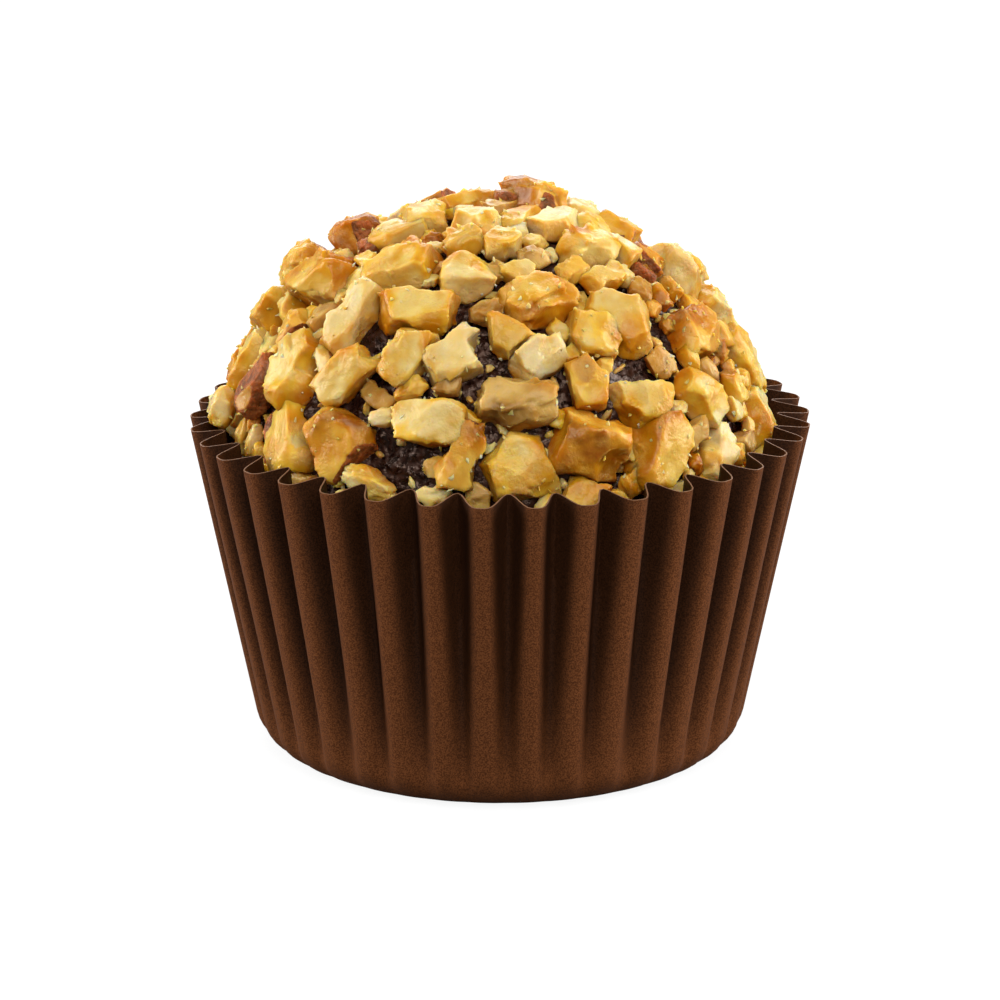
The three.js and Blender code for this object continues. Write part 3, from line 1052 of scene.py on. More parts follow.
@dataclass
class FlatSided:
    """A body between flat faces, within a stretched ball that rounds its corners."""

    half: np.ndarray
    swell: float
    normals: list[np.ndarray] = field(default_factory=list)
    distances: list[float] = field(default_factory=list)
    toasts: list[float] = field(default_factory=list)
    skins: list[float] = field(default_factory=list)

    def cut(self, normal: Iterable[float], share: float, toast: float, skin: float = 0.0) -> None:
        """Adds a flat face.

        Args:
            normal: which way it faces.
            share: how far out it lies, as a share of the way to the stretched ball's surface.
            toast: how roasted it is.
            skin: how much skin is on it.
        """
        way = np.asarray(normal, dtype=float)
        way = way / np.linalg.norm(way)
        self.normals.append(way)
        self.distances.append(share * float(np.linalg.norm(way * self.half)))
        self.toasts.append(toast)
        self.skins.append(skin)

    def reckon(self, directions: np.ndarray, keenness: float) -> tuple[np.ndarray, ...]:
        """Works out the surface in some directions.

        Args:
            directions: unit directions, one to a row.
            keenness: how sharp its edges are.

        Returns:
            The distance from the middle, and the toast, skin and edge that are seen there.
        """
        nearness = np.maximum(directions @ np.array(self.normals).T, 0) / self.distances
        round_off = np.linalg.norm(directions / (self.half * self.swell), axis=1)
        nearness = np.column_stack([nearness, round_off])
        toasts = np.array([*self.toasts, np.mean(self.toasts)])
        skins = np.array([*self.skins, np.mean(self.skins)])
        return blended(nearness, keenness, toasts, skins)


def blended(
    nearness: np.ndarray, keenness: float, toasts: np.ndarray, skins: np.ndarray
) -> tuple[np.ndarray, ...]:
    """Rounds the edges between faces.

    Args:
        nearness: for each direction, one over the distance to each face.
        keenness: how sharp the edges are.
        toasts: how roasted each face is, or a row of that for each direction.
        skins: how much skin is on it, likewise.

    Returns:
        The distance, toast, skin and edge in each direction.
    """
    highest = nearness.max(axis=1, keepdims=True)
    shares = (nearness / highest) ** keenness
    whole = shares.sum(axis=1, keepdims=True)
    distance = 1 / (highest[:, 0] * whole[:, 0] ** (1 / keenness))
    shares /= whole
    edge = np.clip((1 - shares.max(axis=1)) * 2, 0, 1)
    return distance, (shares * toasts).sum(axis=1), (shares * skins).sum(axis=1), edge


@dataclass(frozen=True)
class Scoop:
    """A hollow like the dent of an egg, which stands upright where its squash is small."""

    centre: np.ndarray
    radius: float
    squash: float
    toast: float

    def nearness(self, directions: np.ndarray) -> np.ndarray:
        """Returns one over the distance at which each direction enters the egg, or 0."""
        shrink = np.array([1, 1, self.squash])
        ways, centre = directions * shrink, self.centre * shrink
        square = (ways**2).sum(axis=1)
        along = ways @ centre
        inside = along**2 - square * (centre @ centre - self.radius**2)
        entry = (along - np.sqrt(np.maximum(inside, 0))) / square
        return np.where((inside > 0) & (along > 0), 1 / np.maximum(entry, 1e-6), 0)


@dataclass
class ChoppedShape:
    """The bodies that make up one chopped nut, round its own middle, and the scoops out of it."""

    bodies: list[FlatSided]
    scoops: list["Scoop"]
    keenness: float
    union: float = 18.0

    def reckon(self, directions: np.ndarray) -> tuple[np.ndarray, ...]:
        """Works out the surface in some directions.

        Args:
            directions: unit directions, one to a row.

        Returns:
            The distance from the middle, and the toast, skin and edge that are seen there.
        """
        found = [body.reckon(directions, self.keenness) for body in self.bodies]
        reaches = np.stack([distance for distance, *_ in found], axis=1)
        shares = (reaches / reaches.max(axis=1, keepdims=True)) ** self.union
        shares /= shares.sum(axis=1, keepdims=True)
        reach = (shares * reaches).sum(axis=1)
        looks = [(shares * np.stack(look, axis=1)).sum(axis=1) for look in list(zip(*found))[1:]]
        toast, skin, edge = looks
        nearness, toasts, skins = [1 / reach], [toast], [skin]
        for scoop in self.scoops:
            nearness.append(scoop.nearness(directions))
            toasts.append(np.full(len(directions), scoop.toast))
            skins.append(np.zeros(len(directions)))
        stacked = [np.stack(part, axis=1) for part in (nearness, toasts, skins)]
        distance, toast, skin, scooped = blended(stacked[0], self.keenness, stacked[1], stacked[2])
        return distance, toast, skin, np.maximum(edge, scooped)


def nut_rows() -> list[Nut]:
    """Returns the nuts that have a place of their own, from the left, by the front, to the top."""
    cream, pale, honey, gold = Tone.CREAM, Tone.PALE, Tone.HONEY, Tone.GOLD
    amber, tan, skin = Tone.AMBER, Tone.TAN, Tone.SKIN
    block, wedge, triangle, bone = Form.BLOCK, Form.WEDGE, Form.TRIANGLE, Form.BONE
    hook, boot, lump, pebble, flake = Form.HOOK, Form.BOOT, Form.LUMP, Form.PEBBLE, Form.FLAKE
    return [
        Nut(-83, 14, 3.2, 2.4, 80, pale, pebble, 0.9, toast=-0.2),
        Nut(-86, 24, 4.7, 2.7, 85, honey, block, toast=0.2),
        Nut(-95, 35, 3.6, 3.1, 70, honey, lift=0.3),
        Nut(-103, 45, 4.5, 3.5, 50, gold, pebble, 0.9),
        Nut(-70, 23, 4.0, 2.7, 70, skin, block),
        Nut(-75, 11, 2.6, 1.6, 90, cream, block, 0.3),
        Nut(-70, 37, 3.1, 2.1, 70, amber, block, toast=-0.3),
        Nut(-61, 43, 2.5, 1.9, 80, tan, block),
        Nut(-76, 49, 5.2, 3.8, 20, honey, boot, 0.6, toast=0.2),
        Nut(-110, 57, 4.2, 3.2, 20, amber, block, 0.5),
        Nut(-83, 62, 2.5, 1.9, 70, skin, pebble),
        Nut(-59, 30, 4.7, 3.7, 75, honey, boot),
        Nut(-54, 16, 5.3, 3.6, 118, pale, wedge, toast=0.1),
        Nut(-48, 45, 5.2, 2.7, 88, cream, bone, toast=-0.1),
        Nut(-40, 32, 4.5, 2.6, 52, pale, block),
        Nut(-39, 19, 5.2, 4.1, 145, amber, wedge),
        Nut(-28, 50, 5.4, 3.1, 12, honey, bone, toast=0.3),
        Nut(-30, 30, 3.0, 1.5, 170, tan, flake),
        Nut(-27, 25, 1.7, 1.4, 0, cream, lump),
        Nut(-28, 11, 3.8, 1.9, 160, pale, lump, toast=0.2),
        Nut(-24, 39, 4.1, 2.8, 68, pale, block, toast=0.1),
        Nut(-22, 32, 2.1, 1.5, 20, amber, lump, toast=-0.2),
        Nut(-15, 25, 4.9, 3.0, 3, pale, block, toast=0.15),
        Nut(-13, 16, 1.8, 1.5, 60, tan, flake),
        Nut(-13, 10, 2.4, 1.6, 10, pale, pebble),
        Nut(-11, 40, 3.9, 3.3, 30, cream, hook, toast=-0.2),
        Nut(-7, 19, 4.6, 2.6, 78, amber, bone, toast=-0.3),
        Nut(-3, 51, 2.5, 2.1, 0, tan, pebble, toast=-0.1),
        Nut(-4, 10, 2.2, 1.6, 0, tan, flake),
        Nut(4, 45, 3.3, 2.7, 150, honey, triangle),
        Nut(6, 30, 5.3, 3.6, 175, tan, lump, toast=-0.1),
        Nut(6, 15, 4.9, 3.9, 160, pale),
        Nut(12, 40, 3.5, 2.9, 10, cream, toast=0.1),
        Nut(16, 54, 4.9, 3.7, 0, gold, lump, toast=0.1),
        Nut(22, 67, 2.2, 2.0, 0, tan, pebble, toast=-0.2),
        Nut(20, 10, 3.2, 2.0, 10, honey, toast=0.2),
        Nut(22, 19, 4.9, 4.1, 160, amber, block),
        Nut(24, 33, 3.6, 2.7, 95, gold, toast=-0.1),
        Nut(30, 43, 4.0, 3.2, 150, pale),
        Nut(38, 27, 4.6, 3.6, 165, honey, triangle, toast=-0.1),
        Nut(42, 46, 5.0, 3.7, 140, pale, wedge, toast=0.1),
        Nut(39, 16, 5.1, 4.1, 70, gold, block, toast=0.15),
        Nut(48, 57, 3.2, 2.1, 10, honey, bone),
        Nut(49, 34, 2.5, 1.9, 140, tan, flake),
        Nut(56, 24, 4.2, 2.5, 130, pale, block, toast=-0.1),
        Nut(57, 11, 4.2, 3.1, 35, cream, lump, toast=-0.2),
        Nut(61, 51, 2.0, 1.6, 20, tan, block),
        Nut(64, 28, 2.1, 1.9, 90, tan, pebble),
        Nut(70, 37, 4.7, 3.5, 165, amber, block, toast=-0.1),
        Nut(74, 22, 2.6, 1.8, 90, gold, block, toast=0.2),
        Nut(98, 59, 3.0, 1.2, 70, skin, wedge),
        Nut(85, 12, 4.2, 3.5, 80, pale, block, 0.6, toast=-0.3),
        Nut(96, 46, 5.0, 4.2, 120, cream, triangle, 0.4, toast=0.15),
        Nut(90, 24, 4.7, 2.9, 105, pale, block),
        Nut(99, 34, 4.4, 2.8, 112, pale, block),
        Nut(-98, 74, 4.4, 3.1, 10, honey, block),
        Nut(-78, 69, 3.7, 2.3, 65, pale, wedge),
        Nut(-48, 61, 5.1, 3.6, 25, honey, boot),
        Nut(-30, 82, 3.6, 2.9, 25, pale),
        Nut(-24, 72, 2.9, 2.4, 25, pale, lump),
        Nut(-13, 61, 3.4, 3.1, 15, pale, block),
        Nut(5, 73, 2.7, 2.5, 0, pale),
        Nut(11, 63, 2.2, 1.7, 165, pale, wedge),
        Nut(60, 83, 3.6, 2.0, 5, gold, block, toast=-0.1),
        Nut(38, 61, 2.6, 1.8, 10, amber, lump, toast=-0.3),
        Nut(70, 76, 4.0, 2.5, 150, cream, block, toast=0.2),
        Nut(58, 66, 4.4, 3.1, 154, honey, lump),
        Nut(110, 61, 4.0, 3.2, 150, gold, block),
        Nut(124, 66, 3.6, 2.6, 150, honey, block),
        Nut(138, 77, 5.2, 3.0, 170, amber, lump, 0.6, toast=-0.2),
        Nut(160, 79, 2.7, 2.2, 0, skin, lump, 0.2),
        Nut(-67, 12, 2.1, 1.3, 90, cream, block),
        Nut(-12, 34, 2.1, 1.7, 0, tan),
        Nut(-26, 64, 1.7, 1.0, 60, amber, block, toast=-0.3),
        Nut(0, 64, 1.8, 1.4, 90, tan, block, toast=-0.3),
        Nut(35, 55, 1.2, 1.0, 0, tan, flake),
        Nut(75, 54, 2.0, 1.3, 120, skin, wedge),
        Nut(71, 11, 2.1, 1.7, 30, tan),
        Nut(31, 11, 2.3, 1.8, 60, gold, pebble, toast=0.2),
        Nut(48, 24, 1.3, 1.1, 0, cream, lump),
        Nut(-158, 75, 3.8, 2.6, 0, gold, block),
        Nut(-44, 71, 1.3, 1.1, 0, cream, lump),
        Nut(-67, 47, 1.3, 1.0, 40, tan, flake),
        Nut(0, 57, 1.3, 1.0, 0, tan, flake),
        Nut(87, 38, 1.5, 1.1, 120, cream, block),
        Nut(2, 24, 1.4, 0.5, 135, cream, wedge),
        Nut(-43, 54, 2.4, 1.3, 30, skin, flake),
        Nut(-59, 15, 3.4, 1.1, 100, skin, wedge),
        Nut(-1, 21, 1.5, 0.8, 70, cream, flake),
    ]


@dataclass(frozen=True)
class Chances:
    """The spans that a chopped nut's random numbers lie in: angles in degrees, else shares."""

    side_turn: Span = (-9, 9)
    side_slant: Span = (-0.2, 0.4)
    side_roast: Span = (0.15, 0.95)
    side_reach: Span = (0.92, 1.02)
    loose_side_turn: Span = (-0.25, 0.25)
    loose_side_reach: Span = (0.8, 0.98)
    keenness: Span = (1.1, 2.1)
    bite_turn: Span = (-10, 10)
    bite_depth: Span = (0.1, 0.28)
    bite_radius: Span = (0.15, 0.45)
    bite_slant: Span = (-0.1, 0.3)
    bite_roast: Span = (0, 0.8)
    dimple_slant: Span = (1.0, 4.0)
    dimple_depth: Span = (0.05, 0.14)
    dimple_roast: Span = (0, 0.7)
    top_roast: Span = (-0.3, 0.55)
    top_slant: Span = (0, 0.3)
    top_reach: Span = (0.86, 0.97)
    ridge_slant: Span = (0.12, 0.45)
    ridge_reach: Span = (0.84, 0.96)
    ridge_roast: Span = (-0.3, 0.3)
    corner_slant: Span = (0.3, 1.0)
    corner_reach: Span = (0.76, 0.9)
    corner_roast: Span = (0, 0.9)
    lobe_turn: Span = (-15, 15)
    lobe_roast: Span = (0, 0.9)
    lobe_slant: Span = (-0.1, 0.35)
    lobe_taper: Span = (0, 0.25)
    lobe_top: Span = (-0.3, 0.3)
    ridged: float = 0.22
    dimpled: float = 0.6
    skinned: float = 0.75


@dataclass(frozen=True)
class Ripple:
    """Smooth noise on a nut: its wave in millimetres, its shift from nut to nut and its seed."""

    wave: float
    shift: float
    seed: int

    def at(self, points: np.ndarray, index: int, axis: int = 0) -> np.ndarray:
        """Returns the noise, from -1 to 1, at the points of the nut with a number."""
        return lattice_noise(points / self.wave + index * self.shift, self.seed + axis)


@dataclass
class NutCoat:
    """The chopped nuts: the main ones each in its place, and the others strewn by a rule.

    A strewn size is a length, a width and how close such a nut may lie to another, as a share of
    both their half sizes. A bare spot, where none is strewn, is a turn, a rise and a width.
    """

    ball: ChocolateBall
    cup: PaperCup
    reach: float = 1.75
    reach_spread: float = 0.35
    lowest_rise: float = math.radians(-14)
    thickness: float = 0.76
    lean: float = math.radians(12)
    cup_clearance: float = 0.2
    nudge_step: float = 0.15
    nudge_limit: int = 14
    strewn_sizes: tuple[Triple, ...] = (
        (4.8, 3.7, 0.86), (4.1, 3.1, 0.86), (3.2, 2.4, 0.82), (2.3, 1.7, 0.76), (1.6, 1.2, 0.72),
    )
    strewn_spread: float = 0.15
    strewn_toast: Span = (-0.25, 0.25)
    places: int = 1597
    stride: int = 987
    seed: int = 37
    detail: float = 4.9
    steps: tuple[int, int] = (9, 20)
    fill: float = 0.95
    spare: float = 0.09
    warp: Triple = (0.2, 0.2, 0.07)
    warp_ripple: Ripple = Ripple(1.3, 7.1, 13)
    chip: Span = (0.05, 0.26)
    chip_ripple: Ripple = Ripple(0.4, 3.7, 12)
    swell: float = 0.045
    swell_ripples: tuple[Ripple, Ripple] = (Ripple(0.8, 2.9, 19), Ripple(0.45, 1.9, 23))
    roast_ripple: Ripple = Ripple(1.3, 5.3, 17)
    # Where the painted shade on the lower part of a nut begins, as a share of its half height above
    # its middle.
    painted_low_shade_start: float = 0.35
    standing: Span = (0.3, 0.85)
    bare_gap: Span = (-0.5, 0.6)
    skinned_roast: float = 0.78
    side_bite_share: float = 0.4
    bite_squash: float = 0.3
    dimple_radius: float = 0.8
    lobe_swell: float = 1.35
    chances: Chances = Chances()
    bare_spots: tuple[Triple, ...] = (
        (-36, 42, 1.2), (-51, 27, 1.4), (-23, 19, 2.6), (-19, 14, 2.2), (-7, 35, 1.5),
        (-2, 41, 1.1), (-11, 51, 1.2), (15, 34, 1.1), (42, 38, 2.4), (53, 39, 1.6),
        (28, 28, 1.1), (36, 19, 1.2), (64, 16, 1.6), (4, 23, 0.9), (13, 20, 1.0), (50, 26, 0.8),
    )
    strewn_odds: tuple[float, ...] = (0.16, 0.22, 0.17, 0.2, 0.13, 0.09, 0.03)
    strewn_forms: tuple[Form, ...] = (
        Form.CHUNK, Form.BLOCK, Form.BLOCK, Form.WEDGE, Form.TRIANGLE, Form.BONE, Form.BOOT,
        Form.LUMP, Form.PEBBLE,
    )
    finishes: tuple[NutFinish, ...] = (
        NutFinish(
            "cream_nut", (0.57, 0.49, 0.28), (0.58, 0.43, 0.15), (0.52, 0.3, 0.04), glaze=0.6
        ),
        NutFinish(
            "pale_gold_nut", (0.56, 0.445, 0.185), (0.56, 0.345, 0.035), (0.49, 0.235, 0.008)
        ),
        NutFinish("honey_nut", (0.56, 0.415, 0.125), (0.55, 0.32, 0.018), (0.43, 0.185, 0.003)),
        NutFinish("golden_nut", (0.58, 0.385, 0.08), (0.51, 0.26, 0.009), (0.37, 0.145, 0.0025)),
        NutFinish("amber_nut", (0.55, 0.32, 0.045), (0.43, 0.18, 0.005), (0.24, 0.078, 0.0015)),
        NutFinish("tan_nut", (0.47, 0.3, 0.085), (0.35, 0.195, 0.04), (0.21, 0.095, 0.012)),
        NutFinish("nut_in_skin", (0.46, 0.27, 0.06), (0.37, 0.175, 0.02), (0.22, 0.08, 0.006)),
    )
    nuts: list[Nut] = field(default_factory=list)

    def lay_out(self) -> None:
        """Gives every nut its place: first the placed ones, then those strewn between them."""
        draw = SeededDraw(self.seed)
        self.nuts = nut_rows()
        for nut in self.nuts:
            nut.direction = directions_of(*np.radians([nut.turn, nut.rise]))
            nut.reach = self.reach + nut.lift
        ways = np.array([nut.direction for nut in self.nuts])
        sizes = np.array([nut.size for nut in self.nuts])
        spots = np.array(self.bare_spots)
        empty = directions_of(*np.radians(spots[:, :2]).T)
        golden = math.pi * (3 - math.sqrt(5))
        lowest = math.sin(self.lowest_rise)
        arm = self.ball.radius + self.reach / 2
        tones = tuple(Tone)
        choose = np.random.default_rng(self.seed)
        for length, width, spacing in self.strewn_sizes:
            for visit in range(self.places):
                spot = visit * self.stride % self.places
                rise = math.asin(lowest + (1 - lowest) * (spot + 0.5) / self.places)
                scale = 1 + self.strewn_spread * (2 * draw() - 1)
                roll = draw() * 360
                way = directions_of(spot * golden, rise)
                size = scale * (length + width) / 2
                apart = np.arccos(np.clip(ways @ way, -1, 1)) * arm
                clear = np.arccos(np.clip(empty @ way, -1, 1)) * arm > (size + spots[:, 2]) / 2
                if not (clear.all() and (apart > spacing * (size + sizes) / 2).all()):
                    continue
                reach = self.reach + self.reach_spread * (2 * draw() - 1)
                ways = np.vstack([ways, way])
                sizes = np.append(sizes, size)
                tone = tones[choose.choice(len(tones), p=self.strewn_odds)]
                form = self.strewn_forms[choose.integers(len(self.strewn_forms))]
                sized = (length * scale, width * scale, roll, tone, form)
                toast = choose.uniform(*self.strewn_toast)
                self.nuts.append(Nut(0, 0, *sized, toast=toast, reach=reach, direction=way))

    def bareness(self, directions: np.ndarray) -> np.ndarray:
        """Returns how bare the chocolate is, from 0 under a nut to 1 well between nuts."""
        gap = np.full(len(directions), np.inf)
        for nut in self.nuts:
            apart = np.arccos(np.clip(directions @ nut.direction, -1, 1)) * self.ball.radius
            gap = np.minimum(gap, apart - nut.size / 2)
        above = directions[:, 2] > math.sin(self.lowest_rise)
        start, width = self.bare_gap
        return np.clip((gap - start) / width, 0, 1) * above

    def chop(self, nut: Nut, draw: np.random.Generator) -> ChoppedShape:
        """Chops one nut after its form, no two quite alike.

        Args:
            nut: the nut.
            draw: where its random numbers come from.

        Returns:
            Its shape.
        """
        cutting: Cutting = nut.form.value
        chances = self.chances
        height = nut.width * self.thickness * cutting.thickness
        half = self.fill * np.array([nut.length, nut.width, height]) / 2 - self.spare
        body = FlatSided(half, cutting.swell)
        for angle, share in cutting.sides or self.random_sides(draw):
            turned = math.radians(angle + draw.uniform(*chances.side_turn))
            way = level_way(turned, draw.uniform(*chances.side_slant))
            roast = draw.uniform(*chances.side_roast)
            skin = self.skin_on(nut, draw)
            if nut.tone is Tone.AMBER and roast > self.skinned_roast:
                skin = 1.0
            body.cut(way, share * draw.uniform(*chances.side_reach), roast + nut.toast, skin)
        self.close_body(body, nut, draw)
        bodies = [body, *(self.lobe(nut, half, lobe, draw) for lobe in cutting.lobes)]
        shape = ChoppedShape(bodies, [], cutting.keenness * draw.uniform(*chances.keenness))
        bites = [*cutting.bites]
        shallow = self.side_bite_share if cutting.sides else 1.0
        for _ in range(draw.integers(0, 3)):
            depth = draw.uniform(*chances.bite_depth) * shallow
            bites.append((draw.uniform(0, 360), depth, draw.uniform(*chances.bite_radius)))
        for angle, share, radius in bites:
            turned = math.radians(angle + draw.uniform(*chances.bite_turn))
            way = level_way(turned, draw.uniform(*chances.bite_slant))
            roast = draw.uniform(*chances.bite_roast)
            self.scoop(shape, way, share, radius * nut.width, self.bite_squash, roast)
        if draw.random() < chances.dimpled:
            way = level_way(draw.uniform(0, math.tau), draw.uniform(*chances.dimple_slant))
            depth = draw.uniform(*chances.dimple_depth)
            roast = draw.uniform(*chances.dimple_roast)
            self.scoop(shape, way, depth, nut.width * self.dimple_radius, 1.0, roast)
        return shape

    def random_sides(self, draw: np.random.Generator) -> list[Span]:
        """Returns four to six sides at uneven angles."""
        count = int(draw.integers(4, 7))
        first = draw.uniform(0, 360)
        uneven, reach = self.chances.loose_side_turn, self.chances.loose_side_reach
        return [
            (first + (side + draw.uniform(*uneven)) * 360 / count, draw.uniform(*reach))
            for side in range(count)
        ]

    def skin_on(self, nut: Nut, draw: np.random.Generator) -> float:
        """Returns how much skin is left on a face."""
        return float(nut.tone is Tone.SKIN and draw.random() < self.chances.skinned)

    def close_body(self, body: FlatSided, nut: Nut, draw: np.random.Generator) -> None:
        """Adds the bottom, a flat or ridged top and, now and then, a chopped corner.

        Args:
            body: the body, with its sides.
            nut: the nut that it belongs to.
            draw: where the random numbers come from.
        """
        chances = self.chances
        body.cut((0, 0, -1), 1.0, 0.5)
        across = level_way(draw.uniform(0, math.tau))
        over = self.skin_on(nut, draw)
        pale = draw.uniform(*chances.top_roast) + nut.toast
        if draw.random() < chances.ridged:
            for side in (1, -1):
                way = across * side * draw.uniform(*chances.ridge_slant) + [0, 0, 1]
                reach = draw.uniform(*chances.ridge_reach)
                body.cut(way, reach, pale + draw.uniform(*chances.ridge_roast), over)
        else:
            way = across * draw.uniform(*chances.top_slant) + [0, 0, 1]
            body.cut(way, draw.uniform(*chances.top_reach), pale, over)
        for _ in range(draw.integers(0, 2)):
            way = level_way(draw.uniform(0, math.tau), draw.uniform(*chances.corner_slant))
            toast = draw.uniform(*chances.corner_roast) + nut.toast
            body.cut(way, draw.uniform(*chances.corner_reach), toast, self.skin_on(nut, draw))

    def lobe(
        self, nut: Nut, half: np.ndarray, sizes: tuple[float, ...], draw: np.random.Generator
    ) -> FlatSided:
        """Makes a part that sticks out to one side.

        Args:
            nut: the nut that it belongs to.
            half: the nut's half sizes.
            sizes: its angle, reach, breadth and height, as in its cutting.
            draw: where the random numbers come from.

        Returns:
            The lobe.
        """
        chances = self.chances
        angle, reach, breadth, height = sizes
        lobe = FlatSided(half, self.lobe_swell)
        out = level_way(math.radians(angle + draw.uniform(*chances.lobe_turn)))
        side = np.array([-out[1], out[0], 0])
        toast = draw.uniform(*chances.lobe_roast) + nut.toast
        lobe.cut(out + [0, 0, draw.uniform(*chances.lobe_slant)], reach, toast)
        for sign in (1, -1):
            way = side * sign + out * draw.uniform(*chances.lobe_taper)
            lobe.cut(way, 1.0, toast + draw.uniform(*chances.ridge_roast))
            lobe.distances[-1] = breadth * half[1]
        lobe.cut(-out, 0.5, toast)
        lobe.cut((0, 0, -1), 1.0, toast)
        top = (draw.uniform(*chances.lobe_top), draw.uniform(*chances.lobe_top), 1)
        lobe.cut(top, height, toast)
        return lobe

    @staticmethod
    def scoop(
        shape: ChoppedShape,
        way: np.ndarray,
        depth: float,
        radius: float,
        squash: float,
        toast: float,
    ) -> None:
        """Scoops a hollow out of a shape.

        Args:
            shape: the shape.
            way: where, as a direction from its middle.
            depth: how deep, as a share of the way to the middle.
            radius: the hollow's radius, in millimetres.
            squash: 1 for a round hollow, and less for an upright one.
            toast: how roasted the hollow is.
        """
        way = way / np.linalg.norm(way)
        local = float(shape.reckon(way[None])[0][0])
        stretch = float(np.linalg.norm(way * [1, 1, squash]))
        centre = way * (local * (1 - depth) + radius / stretch)
        shape.scoops.append(Scoop(centre, radius, squash, toast))

    def frame_of(self, nut: Nut, lean: float) -> np.ndarray:
        """Returns the nut's own axes, one to a column: its length, its width and outwards."""
        east = np.array([-nut.direction[1], nut.direction[0], 0])
        east /= np.linalg.norm(east)
        north = np.cross(nut.direction, east)
        roll = math.radians(nut.roll)
        along = east * math.cos(roll) + north * math.sin(roll)
        across = north * math.cos(roll) - east * math.sin(roll)
        tipped = across * math.cos(lean) + nut.direction * math.sin(lean)
        outwards = nut.direction * math.cos(lean) - across * math.sin(lean)
        return np.stack([along, tipped, outwards], axis=1)

    def clear_of_cup(self, points: np.ndarray) -> bool:
        """Returns whether all points lie within the cup or above it."""
        turn = np.arctan2(points[:, 0], -points[:, 1])
        out = np.hypot(points[:, 0], points[:, 1])
        wall = self.cup.inner_radius(turn, points[:, 2]) - self.cup_clearance
        below = points[:, 2] < self.cup.height + self.cup.valley_lift + self.cup_clearance
        return not (below & (out > wall)).any()

    def place_nut(
        self, index: int, nut: Nut, grid: CubeBall
    ) -> Optional[tuple[np.ndarray, dict[str, np.ndarray]]]:
        """Shapes one nut and sets it on the ball, pushed in until it is clear of the paper.

        Args:
            index: the nut's number, which seeds its shape.
            nut: the nut.
            grid: the grid that its faces are made of.

        Returns:
            Its points and the numbers that they carry, or None where it has no room.
        """
        draw = np.random.default_rng([self.seed, index])
        shape = self.chop(nut, draw)
        half = shape.bodies[0].half
        directions = grid.directions(half)
        distance, toast, skin, edge = shape.reckon(directions)
        points = directions * distance[:, None]
        everywhere, on_edges = self.chip
        chips = self.chip_ripple.at(points, index) * (everywhere + on_edges * edge)
        points += directions * chips[:, None]
        warp = [self.warp_ripple.at(points, index, axis) for axis in range(3)]
        points += np.stack(warp, axis=1) * self.warp
        broad, fine = (ripple.at(points, index) for ripple in self.swell_ripples)
        points += directions * (self.swell * (broad + 0.5 * fine))[:, None]
        toast = toast + 0.5 * self.roast_ripple.at(points, index)
        # The mask of the painted shade, growing towards the bottom of the nut.
        low = np.clip(self.painted_low_shade_start - points[:, 2] / half[2], 0, 1)
        depth = 2 * half[2]
        above, share = self.standing
        reach = min(nut.reach, share * depth + above + nut.lift)
        foot = self.ball.surface(nut.direction[None])[0]
        middle = foot + nut.direction * (reach - depth / 2)
        lean = self.lean * draw.uniform(-1, 1)
        placed = points @ self.frame_of(nut, lean).T + middle
        for _ in range(self.nudge_limit):
            if self.clear_of_cup(placed):
                return placed, {"toast": toast, "skin": skin, "edge": edge, "low": low}
            placed = placed - nut.direction * self.nudge_step
        return None

    def build(self, effects: SharedEffects) -> list[bpy.types.Object]:
        """Builds one piece for each tone and puts them on the body.

        Args:
            effects: the shared node groups.

        Returns:
            The pieces.
        """
        grids = {steps: CubeBall(steps) for steps in range(self.steps[0], self.steps[1] + 1)}
        made: dict[Tone, list[tuple]] = {tone: [] for tone in Tone}
        for index, nut in enumerate(self.nuts):
            grid = grids[int(np.clip(round(self.detail * nut.size), *self.steps))]
            placed = self.place_nut(index, nut, grid)
            if placed:
                made[nut.tone].append((placed[0], grid.faces, placed[1]))
        pieces = []
        for tone, finish in zip(Tone, self.finishes):
            points, faces, carried = zip(*made[tone])
            starts = np.cumsum([0] + [len(part) for part in points])
            faces = np.concatenate([part + start for part, start in zip(faces, starts)])
            numbers = {
                label: np.concatenate([held[label] for held in carried]) for label in carried[0]
            }
            piece = mesh_object(tone.value, np.concatenate(points), faces, numbers)
            piece.data.materials.append(finish.material(effects))
            place(piece, "nut_coating")
            pieces.append(piece)
        return pieces


# ------------------------------------------------------------------ bits and crumbs


